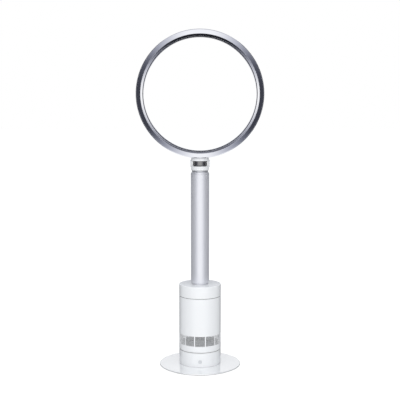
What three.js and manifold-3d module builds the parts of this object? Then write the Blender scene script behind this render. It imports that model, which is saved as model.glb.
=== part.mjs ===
// A bladeless pedestal fan: a slim air loop that tilts on a neck, a telescopic pole, a motor body with a
// pierced air intake that swings on its foot, and a wide round base plate.
// Millimetres. +Z is up from the floor, the front faces -Y, and the pole's axis is the Z axis.
import * as THREE from "three";
import { mergeVertices } from "three/addons/utils/BufferGeometryUtils.js";
import Module from "manifold-3d";

const wasm = await Module();
wasm.setup();

// ---------------------------------------------------------------- driving dimensions
const FIT = 0.3; // gap between pieces that seat on each other
const RUN = 0.4; // gap between pieces that turn or slide on each other

// Base plate, its weight and its foot
const PLATE_R = 144;
const PLATE_H = 7.1;
const PLATE_DROP = 2.6; // fall of the top face from the housing out to the rim
const PLATE_SKIN = 2.8;
const RIM_STEP = 1.3; // height of the undercut below the rim
const FOOT_H = 2.6;
const FOOT_W = 10;
const FOOT_INSET = 8; // from the plate's rim to the foot ring
const WEIGHT_H = 3.9;
const WEIGHT_INSET = 26; // from the foot ring to the weight
const WEIGHT_BORE = 20;
const SCREW_COUNT = 3;
const SCREW_CIRCLE_R = 50;
const SCREW_R = 1.7;
const SCREW_HEAD_R = 3.4;
const SCREW_HEAD_H = 2.4;
const SCREW_L = 16;
const BOSS_R = 5;

// Lower housing, which stays still, with the power button in front
const BODY_R = 74;
const BODY_WALL = 2.5;
const HOUSING_H = 50.3;
const DECK_H = 3;
const DECK_DROP = 3.6; // from the housing's top edge down to the deck
const CABLE_BORE = 8;
const BUTTON_R = 6.2;
const BUTTON_Z = 19.5; // above the plate
const BUTTON_PROUD = 0.5;
const BUTTON_TRAVEL = 1;
const BUTTON_FLANGE = 1.5;
const BUTTON_FLANGE_T = 1.2;
const BUTTON_STEM_R = 2;
const BOARD_W = 46;
const BOARD_H = 26;
const BOARD_T = 1.6;
const BOARD_DEPTH = 10; // from the housing's inner wall to the board
const BOARD_RIB_W = 3;
const BOARD_RIB_SPAN = 36;
const SWITCH_SIDE = 6;
const SWITCH_T = 3.5;
const PLUNGER_R = 1.5;
const PLUNGER_L = 1;
const GLAND_Z = 14; // above the plate
const GLAND_R = 6;
const GLAND_BORE_R = 3.6;
const GLAND_FLANGE = 2;
const GLAND_OUT = 4;

// Swing drive between the lower housing and the motor body
const POST_R = 13.4;
const POST_FLANGE_R = 20;
const POST_FLANGE_H = 2.4;
const POST_RISE = 4.4; // above the turntable
const CLIP_W = 4.6;
const CLIP_T = 1.4;
const CLIP_MOUTH = 8;
const CLIP_GROOVE = 1;
const GLIDE_W = 6;
const GLIDE_INSET = 3.5; // from the housing's inner wall
const TURNTABLE_H = 4;
const TURNTABLE_RISE = 1; // above the shell's foot
const GEAR_MODULE = 1.25;
const GEAR_BACKLASH = 0.3;
const GEAR_T = 4.6;
const SECTOR_TEETH = 56; // of a full circle
const SECTOR_TEETH_CUT = 16;
const SECTOR_RIM = 8;
const PINION_TEETH = 14;
const PINION_SHAFT_R = 2.4;
const PINION_SHAFT_L = 14;
const DRIVE_MOTOR_R = 14;
const DRIVE_MOTOR_H = 21;
const DRIVE_EAR_W = 8;
const DRIVE_EAR_L = 4;
const DRIVE_EAR_T = 1.5;

// Motor body
const SWING_GAP = 1.3; // seam between the lower housing and the motor body
const SHELL_H = 191.5;
const INTAKE_Z = 22.3; // above the shell's foot
const INTAKE_H = 35.4;
const PANELS = 12;
const PANEL_RIB = 3.6;
const HOLES_ROUND = 4; // in each panel
const HOLES_UP = 3;
const HOLE_SHARE = 0.66; // of a hole's pitch
const CAP_GAP = 0.8; // seam between the shell and its cap
const CAP_H = 41.6;
const CAP_TOP_T = 3;
const CAP_EDGE_R = 2.5;
const CAP_LIP_H = 8;
const CAP_LIP_T = 2.2;
const SOCKET_WALL = 5.5;
const SOCKET_H = 31;
const SOCKET_LEDGE = 8; // from the socket's foot up to the tube's end

// Air path and fan unit
const BELL_ABOVE = 2.3; // from the intake to the bellmouth
const BELL_FLANGE_T = 3;
const BELL_RISE = 9;
const BELL_MOUTH_R = 58;
const BELL_THROAT_R = 47;
const BELL_WALL = 2;
const MOUNT_COUNT = 3;
const MOUNT_R = 4;
const MOUNT_WAIST = 1;
const MOUNT_H = 7;
const MOUNT_INSET = 8.5; // from the shell's inner wall
const BUCKET_FLANGE_T = 3;
const BUCKET_FLANGE_INSET = 2.5;
const BUCKET_R = 58;
const BUCKET_WALL = 2;
const BUCKET_CONE_H = 36;
const BUCKET_LIP = 1; // above the motor's nose
const THROAT_STEP = 1; // from the bellmouth's throat out to the bucket's
const BLADES = 7;
const BLADE_T = 1.6;
const BLADE_SWEEP = 0.95; // radians from inlet to outlet
const BLADE_TIP_GAP = 1.2;
const IMPELLER_H = 32;
const IMPELLER_END_GAP = 2;
const HUB_NOSE_R = 14;
const HUB_R = 40;
const HUB_WALL = 2.4;
const HUB_BOSS_WALL = 3;
const STATOR_VANES = 8;
const VANE_H = 28;
const VANE_T = 1.4;
const VANE_SWEEP = -0.35;
const CAN_R = 42;
const CAN_WALL = 2;
const CAN_H = 58;
const CAN_NOSE_H = 14;
const SHAFT_R = 3;
const BEARING_R = 9;
const BEARING_H = 5;
const BEARING_LEDGE = 1;
const COIL_R = 30;
const COIL_H = 20;
const COIL_END_GAP = 4;
const ROTOR_R = 17;
const ROTOR_GAP = 2;
const NUT_R = 5.5;
const NUT_H = 4;
const FOAM_SHORT = 6; // from the bucket's top down to the foam's
const CONE_WALL = 1.5;
const CONE_NECK = 4; // length of the cone's straight part below the socket

// Telescopic pole
const POLE_R = 32;
const SLEEVE_WALL = 1.5;
const SLEEVE_L = 385.7;
const POLE_GAP = 6; // the inner tube shows here at the lowest height
const BUSH_SPACE = 2.5; // between the two tubes
const INNER_WALL = 1.5;
const POLE_HEADROOM = 8;
const BUSH_L = 22;
const BUSH_INSET = 1;
const SLEEVE_CAP_H = 7.5;
const SLEEVE_CAP_EDGE = 2;
const SLEEVE_CAP_SPIGOT = 20;
const SLEEVE_CAP_CHAMFER = 3.6;

// Neck
const NECK_EDGE = 1;
const NECK_SPIGOT_R = 24;
const NECK_SPIGOT_WALL = 3.5;
const NECK_SPIGOT_L = 18;
const SEAL_H = 5.6;
const SEAL_W = 4;
const LOWER_COLLAR_H = 14.3;
const UPPER_COLLAR_H = 9.3;
const WINDOW_H = 18.5;
const EAR_R = 12.5;
const EAR_CLEAR = 1; // from the bellows to the ears
const EAR_ROOT = 1.8; // how far the upper ears start inside the collar's face
const LOWER_EAR_T = 3;
const WASHER_T = 1;
const WASHER_R = 9;
const UPPER_EAR_T = 5.3;
const PIVOT_R = 3;
const PIVOT_HEAD_R = 5;
const PIVOT_HEAD_T = 1.5;
const PIVOT_CAP_R = 10.6;
const PIVOT_CAP_T = 1.4;
const PIVOT_CAP_CROWN = 0.6;
const BELLOWS_FOLDS = 3;
const BELLOWS_CREST_R = 23.6;
const BELLOWS_ROOT_R = 20.6;
const BELLOWS_CUFF_R = 22;
const BELLOWS_CUFF_L = 9;
const BELLOWS_WALL = 1.2;
const BELLOWS_PLAIN = 1.5; // straight part at each end of the window

// Air loop, whose own axis runs along Y
const LOOP_R = 223.4; // at its widest
const LOOP_WALL = 1.6;
const LOOP_FRONT = 50.5; // from the pole's axis to the front edge
const LOOP_REAR = 52; // from the pole's axis to the back
const LOOP_WIDEST = 10; // from the pole's axis forward to the widest place
const LOOP_DEPTH = 23.9; // from the widest radius in to the clear opening
const LOOP_BACK_TAPER = 1.5;
const LOOP_BACK_ROUND = 24;
const LIP_L = 24; // length of the lip that turns forward inside the opening
const LIP_ROUND = 9;
const SLOT = 1.2; // the annular air slot
const SLOT_LAP = 9; // how far the inner wall runs back behind the slot
const SLOT_FLARE = 4;
const SLOT_LIP_AHEAD = 4;
const INNER_FLARE = 4; // how far the inner wall opens out from the slot to the trim
const INNER_FLARE_START = 4; // from the pole's axis forward to where it starts
const SPACERS = 8;
const SPACER_W = 2.5;
const SPACER_L = 6;
const TRIM_DEPTH = 11.5; // from the front edge back to the band's inner edge
const TRIM_EDGE_INSET = 5; // from the widest radius in to the front edge
const SHOULDER_INSET = 2.2; // from the widest radius in to the trim's outer joint
const SHOULDER_DEPTH = 6.5; // from the front edge back to that joint
const GASKET_SIDE = 2;
const LOOP_DUCT_R = 22;

// Facets round each piece
const LOOP_SIDES = 40;
const PLATE_SIDES = 40;
const BODY_SIDES = 32;
const TUBE_SIDES = 24;
const INNER_SIDES = 18;
const SMALL_SIDES = 10;
const ROUND_STEPS = 2; // along a large rounding; a small edge has one

// ---------------------------------------------------------------- heights and radii that follow
const plateZ = FOOT_H + FIT;
const plateTop = plateZ + PLATE_H;
const plateInside = plateTop - PLATE_SKIN;
const footInnerR = PLATE_R - FOOT_INSET - FOOT_W;
const weightR = footInnerR - WEIGHT_INSET;
const housingZ = plateTop + FIT;
const housingTop = housingZ + HOUSING_H;
const deckTop = housingTop - DECK_DROP;
const deckUnder = deckTop - DECK_H;
const bodyInnerR = BODY_R - BODY_WALL;
const boardY = -(bodyInnerR - BOARD_DEPTH); // the board's face towards the button
const shellZ = housingTop + SWING_GAP;
const shellTop = shellZ + SHELL_H;
const turntableZ = shellZ + TURNTABLE_RISE;
const turntableTop = turntableZ + TURNTABLE_H;
const capZ = shellTop + CAP_GAP;
const capTop = capZ + CAP_H;
const socketZ = capTop - CAP_TOP_T - SOCKET_H;
const sectorPitchR = (SECTOR_TEETH * GEAR_MODULE) / 2;
const pinionPitchR = (PINION_TEETH * GEAR_MODULE) / 2;
const pinionX = -(sectorPitchR + pinionPitchR);
const gearZ = turntableZ - FIT - GEAR_T;
const bellZ = shellZ + INTAKE_Z + INTAKE_H + BELL_ABOVE;
const bellFlangeTop = bellZ + BELL_FLANGE_T;
const mountZ = bellFlangeTop + FIT;
const bucketZ = mountZ + MOUNT_H + FIT;
const bucketFlangeTop = bucketZ + BUCKET_FLANGE_T;
const bucketInnerR = BUCKET_R - BUCKET_WALL;
const impellerZ = bucketZ + IMPELLER_END_GAP;
const impellerTop = impellerZ + IMPELLER_H;
const canZ = impellerTop + IMPELLER_END_GAP;
const canTop = canZ + CAN_H;
const bucketTop = canTop + BUCKET_LIP;
const bearingLowZ = canZ + BEARING_LEDGE;
const coilZ = bearingLowZ + BEARING_H + COIL_END_GAP;
const bearingHighZ = coilZ + COIL_H + COIL_END_GAP;
const poleInnerR = POLE_R - SLEEVE_WALL; // bore of the outer tube
const innerTubeR = poleInnerR - BUSH_SPACE;
const sleeveZ = capTop + POLE_GAP;
const sleeveTop = sleeveZ + SLEEVE_L;
const sleeveCapZ = sleeveTop + FIT;
const sleeveCapTop = sleeveCapZ + SLEEVE_CAP_H;
const innerTubeZ = socketZ + SOCKET_LEDGE;
const innerTubeTop = sleeveCapZ - SLEEVE_CAP_SPIGOT - POLE_HEADROOM;
const sealZ = sleeveCapTop + FIT;
const yokeZ = sealZ + SEAL_H + FIT;
const windowZ = yokeZ + LOWER_COLLAR_H;
const windowTop = windowZ + WINDOW_H;
const pivotZ = windowZ + WINDOW_H / 2;
const loopBottom = windowTop + UPPER_COLLAR_H;
const loopZ = loopBottom + LOOP_R;
const lowerEarX = BELLOWS_CREST_R + EAR_CLEAR;
const lowerEarEnd = lowerEarX + LOWER_EAR_T;
const upperEarX = lowerEarEnd + WASHER_T + 2 * FIT;
const upperEarEnd = upperEarX + UPPER_EAR_T;
const neckR = upperEarX + EAR_ROOT;
const capSeatX = upperEarEnd - PIVOT_CAP_T;
const pinSeatX = capSeatX - FIT - PIVOT_HEAD_T;
const frontY = -LOOP_FRONT;
const shoulderY = frontY + SHOULDER_DEPTH;
const trimInnerY = frontY + TRIM_DEPTH;
const lipFrontY = LOOP_REAR - LIP_L;
const shoulderR = LOOP_R - SHOULDER_INSET;
const lipR = LOOP_R - LOOP_DEPTH;
const slotFaceR = lipR + LOOP_WALL + SLOT;
const trimInnerR = slotFaceR + INNER_FLARE;

// ---------------------------------------------------------------- materials
const finish = (color, roughness, metalness) =>
  new THREE.MeshStandardMaterial({ color, roughness, metalness });
const WHITE = finish(0xf2f3f4, 0.22, 0);
const SILVER = finish(0xc9cbd2, 0.32, 0.85);
const MIRROR_SILVER = finish(0xd5d7de, 0.1, 1);
const GREY = finish(0x9fa3a8, 0.4, 0);
const DARK = finish(0x17181b, 0.35, 0);
const RUBBER = finish(0x2c2d2f, 0.8, 0);
const STEEL = finish(0xa9adb2, 0.35, 1);
const COPPER = finish(0xb56a3b, 0.4, 1);
const BOARD = finish(0x1f5a3a, 0.5, 0);
const FOAM = finish(0x4a4b4e, 0.95, 0);
const NYLON = finish(0xe3e1d8, 0.5, 0);

// ---------------------------------------------------------------- geometry helpers
const at = (across, along) => new THREE.Vector2(across, along);

/** The radius that a faceted bore needs so that its facets clear a given radius. */
const bore = (radius, sides) => radius / Math.cos(Math.PI / sides);

/** How near to the axis the facets of a round wall come. */
const facetR = (radius, sides) => radius * Math.cos(Math.PI / sides);

/** Points along corners [across, along, fillet], with each fillet as a curve of so many steps. */
function softened(corners, steps = 1, closed = true) {
  return corners.flatMap(([x, y, fillet = 0], i) => {
    const isEnd = !closed && (i === 0 || i === corners.length - 1);
    const corner = at(x, y);
    if (!fillet || isEnd) return [corner];
    const [beforeX, beforeY] = corners.at(i - 1);
    const [afterX, afterY] = corners[(i + 1) % corners.length];
    const before = at(beforeX, beforeY).sub(corner);
    const after = at(afterX, afterY).sub(corner);
    const reach = Math.min(fillet, before.length() * 0.49, after.length() * 0.49);
    const start = corner.clone().addScaledVector(before.normalize(), reach);
    const end = corner.clone().addScaledVector(after.normalize(), reach);
    return new THREE.QuadraticBezierCurve(start, corner, end).getPoints(steps);
  });
}

/** The closed outline of a wall of even thickness that follows a centre line. */
function wallOutline(line, thickness) {
  const last = line.length - 1;
  const normal = (a, b) => at(a.y - b.y, b.x - a.x).normalize();
  const side = (offset) =>
    line.map((point, i) => {
      const into = normal(line[Math.max(i - 1, 0)], line[Math.max(i, 1)]);
      const out = normal(line[Math.min(i, last - 1)], line[Math.min(i + 1, last)]);
      const middle = into.clone().add(out).normalize();
      return point.clone().addScaledVector(middle, offset / middle.dot(out));
    });
  return [...side(thickness / 2), ...side(-thickness / 2).reverse()];
}

/** Turns an outline round the Y axis. An outline that touches the axis runs from axis to axis. */
function turnedY(points, sides) {
  const line = THREE.ShapeUtils.area(points) > 0 ? points : [...points].reverse();
  const touchesAxis = line[0].x === 0 && line.at(-1).x === 0;
  return new THREE.LatheGeometry(touchesAxis ? line : [...line, line[0]], sides);
}

const turnedZ = (points, sides) => turnedY(points, sides).rotateX(Math.PI / 2);
const turnedX = (points, sides) => turnedY(points, sides).rotateZ(-Math.PI / 2);

/** A plain ring or tube about Z, whose bore clears the inner radius. */
function ring(inner, outer, low, high, sides = INNER_SIDES) {
  const boreR = bore(inner, sides);
  return turnedZ([at(boreR, low), at(outer, low), at(outer, high), at(boreR, high)], sides);
}

/** A plain round bar about Z. */
const bar = (radius, low, high, sides = SMALL_SIDES) =>
  turnedZ([at(0, low), at(radius, low), at(radius, high), at(0, high)], sides);
const barX = (radius, from, to, sides = SMALL_SIDES) =>
  bar(radius, from, to, sides).rotateY(Math.PI / 2);
const barY = (radius, from, to, sides = SMALL_SIDES) =>
  bar(radius, from, to, sides).rotateX(-Math.PI / 2);

/** A block from one corner to the other. */
function block(x0, x1, y0, y1, z0, z1) {
  const box = new THREE.BoxGeometry(x1 - x0, y1 - y0, z1 - z0);
  return box.translate((x0 + x1) / 2, (y0 + y1) / 2, (z0 + z1) / 2);
}

/** The same shape, repeated round the Z axis. */
const aroundZ = (count, make) =>
  Array.from({ length: count }, (_, i) => make(i).rotateZ((i * 2 * Math.PI) / count));

function solidOf(geometry) {
  const bare = new THREE.BufferGeometry().setAttribute("position", geometry.getAttribute("position"));
  bare.setIndex(geometry.index);
  const merged = mergeVertices(bare, 1e-4);
  const vertProperties = merged.getAttribute("position").array;
  const triVerts = new Uint32Array(merged.index.array);
  return new wasm.Manifold(new wasm.Mesh({ numProp: 3, vertProperties, triVerts }));
}

function geometryOf(solid) {
  const { vertProperties, triVerts } = solid.getMesh();
  const geometry = new THREE.BufferGeometry();
  geometry.setAttribute("position", new THREE.BufferAttribute(vertProperties, 3));
  geometry.setIndex(new THREE.BufferAttribute(triVerts, 1));
  return geometry.toNonIndexed();
}

const joined = (first, ...more) =>
  geometryOf(more.reduce((sum, piece) => sum.add(solidOf(piece)), solidOf(first)));
const cut = (first, ...tools) =>
  geometryOf(tools.reduce((rest, tool) => rest.subtract(solidOf(tool)), solidOf(first)));

/** A flat shape raised from one height to another. */
const raised = (points, low, high) =>
  new THREE.ExtrudeGeometry(new THREE.Shape(points), { depth: high - low, bevelEnabled: false })
    .translate(0, 0, low);

/** A geometry from four-cornered faces, each with its corners anticlockwise from outside. */
function fromQuads(quads) {
  const positions = quads.flatMap(([a, b, c, d]) => [...a, ...b, ...c, ...a, ...c, ...d]);
  const attribute = new THREE.Float32BufferAttribute(positions, 3);
  return new THREE.BufferGeometry().setAttribute("position", attribute);
}

/**
 * A round wall pierced by a grid. Stations are angles round it and levels are heights up it, and
 * isHole(i, j) says whether the cell past station i and level j is open.
 */
function piercedWall(outer, inner, stations, levels, isHole) {
  const quads = [];
  const point = (radius, i, j) => {
    const angle = stations[i % stations.length];
    return [radius * Math.cos(angle), radius * Math.sin(angle), levels[j]];
  };
  const ledge = (i, j) =>
    [point(outer, i, j), point(outer, i + 1, j), point(inner, i + 1, j), point(inner, i, j)];
  const jamb = (i, j) =>
    [point(inner, i, j), point(inner, i, j + 1), point(outer, i, j + 1), point(outer, i, j)];
  const face = (radius, i, j) =>
    [point(radius, i, j), point(radius, i + 1, j), point(radius, i + 1, j + 1), point(radius, i, j + 1)];
  stations.forEach((_, i) => {
    quads.push(ledge(i, 0).reverse(), ledge(i, levels.length - 1));
    for (let j = 0; j < levels.length - 1; j++) {
      if (isHole(i, j)) {
        quads.push(ledge(i, j), ledge(i, j + 1).reverse(), jamb(i, j), jamb(i + 1, j).reverse());
      } else {
        quads.push(face(outer, i, j), face(inner, i, j).reverse());
      }
    }
  });
  return fromQuads(quads);
}

/** Edges of the holes that share a span with bars between them: hole, bar, hole ... hole. */
function holeEdges(start, end, holes) {
  const pitch = (end - start) / (holes - 1 + HOLE_SHARE);
  const steps = Array.from({ length: holes }, (_, k) => [k, k + HOLE_SHARE]).flat();
  return steps.map((step) => start + step * pitch);
}

/** A thin blade about Z: place(u, v) is its radius, angle and height, u along it and v across it. */
function blade(steps, place, thickness) {
  const point = (u, v, side) => {
    const [radius, angle, z] = place(u, v);
    const turn = angle + (side * thickness) / (2 * radius);
    return [radius * Math.cos(turn), radius * Math.sin(turn), z];
  };
  const quads = [
    [point(0, 0, 1), point(0, 1, 1), point(0, 1, -1), point(0, 0, -1)],
    [point(1, 0, -1), point(1, 1, -1), point(1, 1, 1), point(1, 0, 1)],
  ];
  for (let k = 0; k < steps; k++) {
    const u = k / steps;
    const w = (k + 1) / steps;
    quads.push(
      [point(u, 0, 1), point(w, 0, 1), point(w, 1, 1), point(u, 1, 1)],
      [point(u, 1, -1), point(w, 1, -1), point(w, 0, -1), point(u, 0, -1)],
      [point(u, 1, 1), point(w, 1, 1), point(w, 1, -1), point(u, 1, -1)],
      [point(u, 0, -1), point(w, 0, -1), point(w, 0, 1), point(u, 0, 1)],
    );
  }
  return fromQuads(quads);
}

/** Involute teeth in order of angle, from the tooth centred at the first angle. */
function gearTeeth(total, count, first) {
  const pressure = Math.PI / 9;
  const pitchR = (total * GEAR_MODULE) / 2;
  const baseR = pitchR * Math.cos(pressure);
  const rootR = pitchR - GEAR_MODULE;
  const tipR = pitchR + 0.8 * GEAR_MODULE;
  const involute = (angle) => Math.tan(angle) - angle;
  const halfTooth = (radius) =>
    Math.PI / (2 * total) - GEAR_BACKLASH / (4 * pitchR) + involute(pressure) -
    involute(Math.acos(Math.min(1, baseR / radius)));
  const flank = [rootR, pitchR, tipR].map((radius) => [radius, halfTooth(radius)]);
  return Array.from({ length: count }, (_, k) => {
    const middle = first + (k * 2 * Math.PI) / total;
    const point = ([radius, half], side) => at(radius, 0).rotateAround(at(0, 0), middle + side * half);
    return [...flank.map((step) => point(step, -1)), ...[...flank].reverse().map((step) => point(step, 1))];
  }).flat();
}

// ---------------------------------------------------------------- base
const footRing = () => ring(footInnerR, footInnerR + FOOT_W, 0, FOOT_H, TUBE_SIDES);

function basePlate() {
  const dishR = weightR + 4;
  const profile = softened([
    [0, plateTop], [BODY_R, plateTop], [PLATE_R, plateTop - PLATE_DROP, 3], [PLATE_R, plateZ + RIM_STEP],
    [PLATE_R - 2, plateZ], [dishR, plateZ], [dishR, plateInside], [0, plateInside],
  ]);
  const holes = aroundZ(SCREW_COUNT, () =>
    bar(SCREW_R + FIT, 0, plateTop + 1).translate(SCREW_CIRCLE_R, 0, 0));
  return cut(turnedZ(profile, PLATE_SIDES), ...holes);
}

function ballastDisc() {
  const top = plateInside - FIT;
  const holes = aroundZ(SCREW_COUNT, () =>
    bar(SCREW_HEAD_R + 1, 0, plateTop).translate(SCREW_CIRCLE_R, 0, 0));
  return cut(ring(WEIGHT_BORE, weightR, top - WEIGHT_H, top, TUBE_SIDES), ...holes);
}

function plateScrew(index) {
  const head = plateInside - FIT;
  const profile = [
    at(0, head - SCREW_HEAD_H), at(SCREW_HEAD_R, head - SCREW_HEAD_H), at(SCREW_HEAD_R, head),
    at(SCREW_R, head), at(SCREW_R, head + SCREW_L - 1), at(0, head + SCREW_L),
  ];
  return turnedZ(profile, 10)
    .translate(SCREW_CIRCLE_R, 0, 0)
    .rotateZ((index * 2 * Math.PI) / SCREW_COUNT);
}

function lowerHousing() {
  const wall = softened([
    [BODY_R, housingZ], [BODY_R, housingTop, 1], [bodyInnerR, housingTop], [bodyInnerR, deckTop],
    [CABLE_BORE, deckTop], [CABLE_BORE, deckUnder], [bodyInnerR, deckUnder], [bodyInnerR, housingZ],
  ]);
  const bosses = aroundZ(SCREW_COUNT, () =>
    bar(BOSS_R, housingZ, deckUnder + 1).translate(SCREW_CIRCLE_R, 0, 0));
  const ribLow = plateTop + BUTTON_Z - BOARD_H / 2;
  const ribs = [-1, 1].map((side) => {
    const x = (side * BOARD_RIB_SPAN) / 2;
    const wallY = -Math.sqrt(bodyInnerR ** 2 - (Math.abs(x) + BOARD_RIB_W / 2) ** 2) - BODY_WALL / 2;
    return block(x - BOARD_RIB_W / 2, x + BOARD_RIB_W / 2, wallY, boardY - FIT, ribLow, ribLow + BOARD_H);
  });
  const screwHoles = aroundZ(SCREW_COUNT, () =>
    bar(SCREW_R + FIT, housingZ - 1, plateInside + SCREW_L + 1).translate(SCREW_CIRCLE_R, 0, 0));
  const buttonHole = barY(BUTTON_R + FIT, -BODY_R - 1, -bodyInnerR + 4, 16)
    .translate(0, 0, plateTop + BUTTON_Z);
  const glandHole = barY(GLAND_R + FIT, bodyInnerR - 4, BODY_R + 1).translate(0, 0, plateTop + GLAND_Z);
  const shaftHole = bar(PINION_SHAFT_R + RUN, deckUnder - 1, deckTop + 1).translate(pinionX, 0, 0);
  const shell = joined(turnedZ(wall, BODY_SIDES), ...bosses, ...ribs);
  return cut(shell, ...screwHoles, buttonHole, glandHole, shaftHole);
}

function powerButton() {
  const face = -(BODY_R + BUTTON_PROUD);
  const flangeY = -(bodyInnerR - 0.8);
  const stemY = flangeY + BUTTON_FLANGE_T;
  const end = boardY - SWITCH_T - PLUNGER_L - BUTTON_TRAVEL - FIT;
  const flangeR = BUTTON_R + BUTTON_FLANGE;
  const profile = softened([
    [0, face], [BUTTON_R, face, 0.8], [BUTTON_R, flangeY], [flangeR, flangeY], [flangeR, stemY],
    [BUTTON_STEM_R, stemY], [BUTTON_STEM_R, end], [0, end],
  ]);
  return turnedY(profile, 16).translate(0, 0, plateTop + BUTTON_Z);
}

function controlBoard() {
  const halfW = BOARD_W / 2;
  const halfH = BOARD_H / 2;
  return block(-halfW, halfW, boardY, boardY + BOARD_T, -halfH, halfH).translate(0, 0, plateTop + BUTTON_Z);
}

function pushSwitch() {
  const half = SWITCH_SIDE / 2;
  const front = boardY - SWITCH_T;
  const plunger = barY(PLUNGER_R, front - PLUNGER_L, front + 1, 8);
  return joined(block(-half, half, front, boardY - FIT, -half, half), plunger)
    .translate(0, 0, plateTop + BUTTON_Z);
}

function cordGland() {
  const inside = facetR(bodyInnerR, BODY_SIDES) - FIT;
  const outside = BODY_R + FIT;
  const flangeR = GLAND_R + GLAND_FLANGE;
  const boreR = GLAND_BORE_R;
  return turnedY([
    at(boreR, inside - 2), at(flangeR, inside - 2), at(flangeR, inside - 0.6), at(GLAND_R, inside - 0.6),
    at(GLAND_R, outside), at(flangeR, outside), at(flangeR - 1, outside + GLAND_OUT),
    at(boreR, outside + GLAND_OUT),
  ], SMALL_SIDES).translate(0, 0, plateTop + GLAND_Z);
}

// ---------------------------------------------------------------- swing drive
function driveMotor() {
  const top = deckUnder - FIT;
  const can = bar(DRIVE_MOTOR_R, top - DRIVE_MOTOR_H, top, INNER_SIDES);
  const earReach = DRIVE_MOTOR_R + DRIVE_EAR_L;
  const ears = block(-DRIVE_EAR_W / 2, DRIVE_EAR_W / 2, -earReach, earReach, top - DRIVE_EAR_T, top);
  const shaftHole = bar(PINION_SHAFT_R + RUN, gearZ - PINION_SHAFT_L, top + 1);
  return cut(joined(can, ears), shaftHole).translate(pinionX, 0, 0);
}

function drivePinion() {
  const gear = raised(gearTeeth(PINION_TEETH, PINION_TEETH, 0), gearZ, gearZ + GEAR_T);
  const shaft = bar(PINION_SHAFT_R, gearZ + 1 - PINION_SHAFT_L, gearZ + 1);
  return joined(gear, shaft).translate(pinionX, 0, 0);
}

/** Part of a ring gear under the turntable, with a tooth space facing the pinion. */
function driveSector() {
  const pitch = (2 * Math.PI) / SECTOR_TEETH;
  const span = (SECTOR_TEETH_CUT * pitch) / 2;
  const innerR = sectorPitchR - SECTOR_RIM;
  const first = Math.PI + pitch / 2 - pitch * Math.floor(SECTOR_TEETH_CUT / 2);
  const inside = Array.from({ length: 9 }, (_, k) =>
    at(innerR, 0).rotateAround(at(0, 0), Math.PI + span - (k * span) / 4));
  return raised([...gearTeeth(SECTOR_TEETH, SECTOR_TEETH_CUT, first), ...inside], gearZ, gearZ + GEAR_T);
}

function glideRing() {
  const outer = facetR(bodyInnerR, BODY_SIDES) - GLIDE_INSET;
  return ring(outer - GLIDE_W, outer, deckTop + FIT, turntableZ - FIT);
}

function pivotPost() {
  const foot = deckTop + FIT;
  const flangeTop = foot + POST_FLANGE_H;
  const groove = turntableTop + FIT;
  const grooveTop = groove + CLIP_T + 2 * FIT;
  const grooveR = POST_R - CLIP_GROOVE;
  return turnedZ([
    at(CABLE_BORE, foot), at(POST_FLANGE_R, foot), at(POST_FLANGE_R, flangeTop), at(POST_R, flangeTop),
    at(POST_R, groove), at(grooveR, groove), at(grooveR, grooveTop), at(POST_R, grooveTop),
    at(POST_R, turntableTop + POST_RISE), at(CABLE_BORE, turntableTop + POST_RISE),
  ], INNER_SIDES);
}

function retainingClip() {
  const low = turntableTop + 2 * FIT;
  const innerR = POST_R - CLIP_GROOVE + FIT;
  const outerR = innerR + CLIP_W;
  const mouth = block(0, outerR + 1, -CLIP_MOUTH / 2, CLIP_MOUTH / 2, low - 1, low + CLIP_T + 1);
  return cut(ring(innerR, outerR, low, low + CLIP_T, 16), mouth);
}

const turntable = () => ring(POST_R + RUN, bodyInnerR - FIT, turntableZ, turntableTop, BODY_SIDES);

// ---------------------------------------------------------------- motor body
/** The tall shell, with a band of pierced panels between plain ribs for the air to enter. */
function bodyShell() {
  const panelHalf = Math.PI / PANELS - PANEL_RIB / (2 * BODY_R);
  const stations = Array.from({ length: PANELS }, (_, k) => {
    const middle = -Math.PI / 2 + (k * 2 * Math.PI) / PANELS;
    return holeEdges(middle - panelHalf, middle + panelHalf, HOLES_ROUND);
  }).flat();
  const intakeLow = shellZ + INTAKE_Z;
  const levels = [shellZ, ...holeEdges(intakeLow, intakeLow + INTAKE_H, HOLES_UP), shellTop];
  const isHole = (i, j) => i % 2 === 0 && j % 2 === 1 && j < levels.length - 2;
  return piercedWall(BODY_R, bodyInnerR, stations, levels, isHole);
}

/** The shell's cap, with a socket for the pole's inner tube. */
function bodyCap() {
  const lipR = bodyInnerR - FIT;
  const lipZ = capZ - CAP_LIP_H;
  const underTop = capTop - CAP_TOP_T;
  const boreR = bore(innerTubeR + FIT, BODY_SIDES);
  const socketR = boreR + SOCKET_WALL;
  return turnedZ(softened([
    [BODY_R, capZ], [BODY_R, capTop, CAP_EDGE_R], [boreR, capTop], [boreR, socketZ], [socketR, socketZ],
    [socketR, underTop], [lipR - CAP_LIP_T, underTop], [lipR - CAP_LIP_T, lipZ], [lipR, lipZ], [lipR, capZ],
  ]), BODY_SIDES);
}

function inletBellmouth() {
  const outer = bodyInnerR - FIT;
  const rimTop = bellZ + BELL_RISE;
  const backR = BELL_THROAT_R + BELL_WALL;
  const mouthCurve = new THREE.QuadraticBezierCurve(
    at(BELL_THROAT_R, rimTop), at(BELL_THROAT_R, bellZ), at(BELL_MOUTH_R, bellZ));
  return turnedZ([
    at(outer, bellZ), at(outer, bellFlangeTop), at(backR + BELL_FLANGE_T, bellFlangeTop), at(backR, rimTop),
    ...mouthCurve.getPoints(3),
  ], INNER_SIDES);
}

function rubberMount(index) {
  const middle = mountZ + MOUNT_H / 2;
  const profile = [
    at(0, mountZ), at(MOUNT_R, mountZ), at(MOUNT_R - MOUNT_WAIST, middle), at(MOUNT_R, mountZ + MOUNT_H),
    at(0, mountZ + MOUNT_H),
  ];
  return turnedZ(profile, 10)
    .translate(bodyInnerR - MOUNT_INSET, 0, 0)
    .rotateZ((index * 2 * Math.PI) / MOUNT_COUNT);
}

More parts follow.
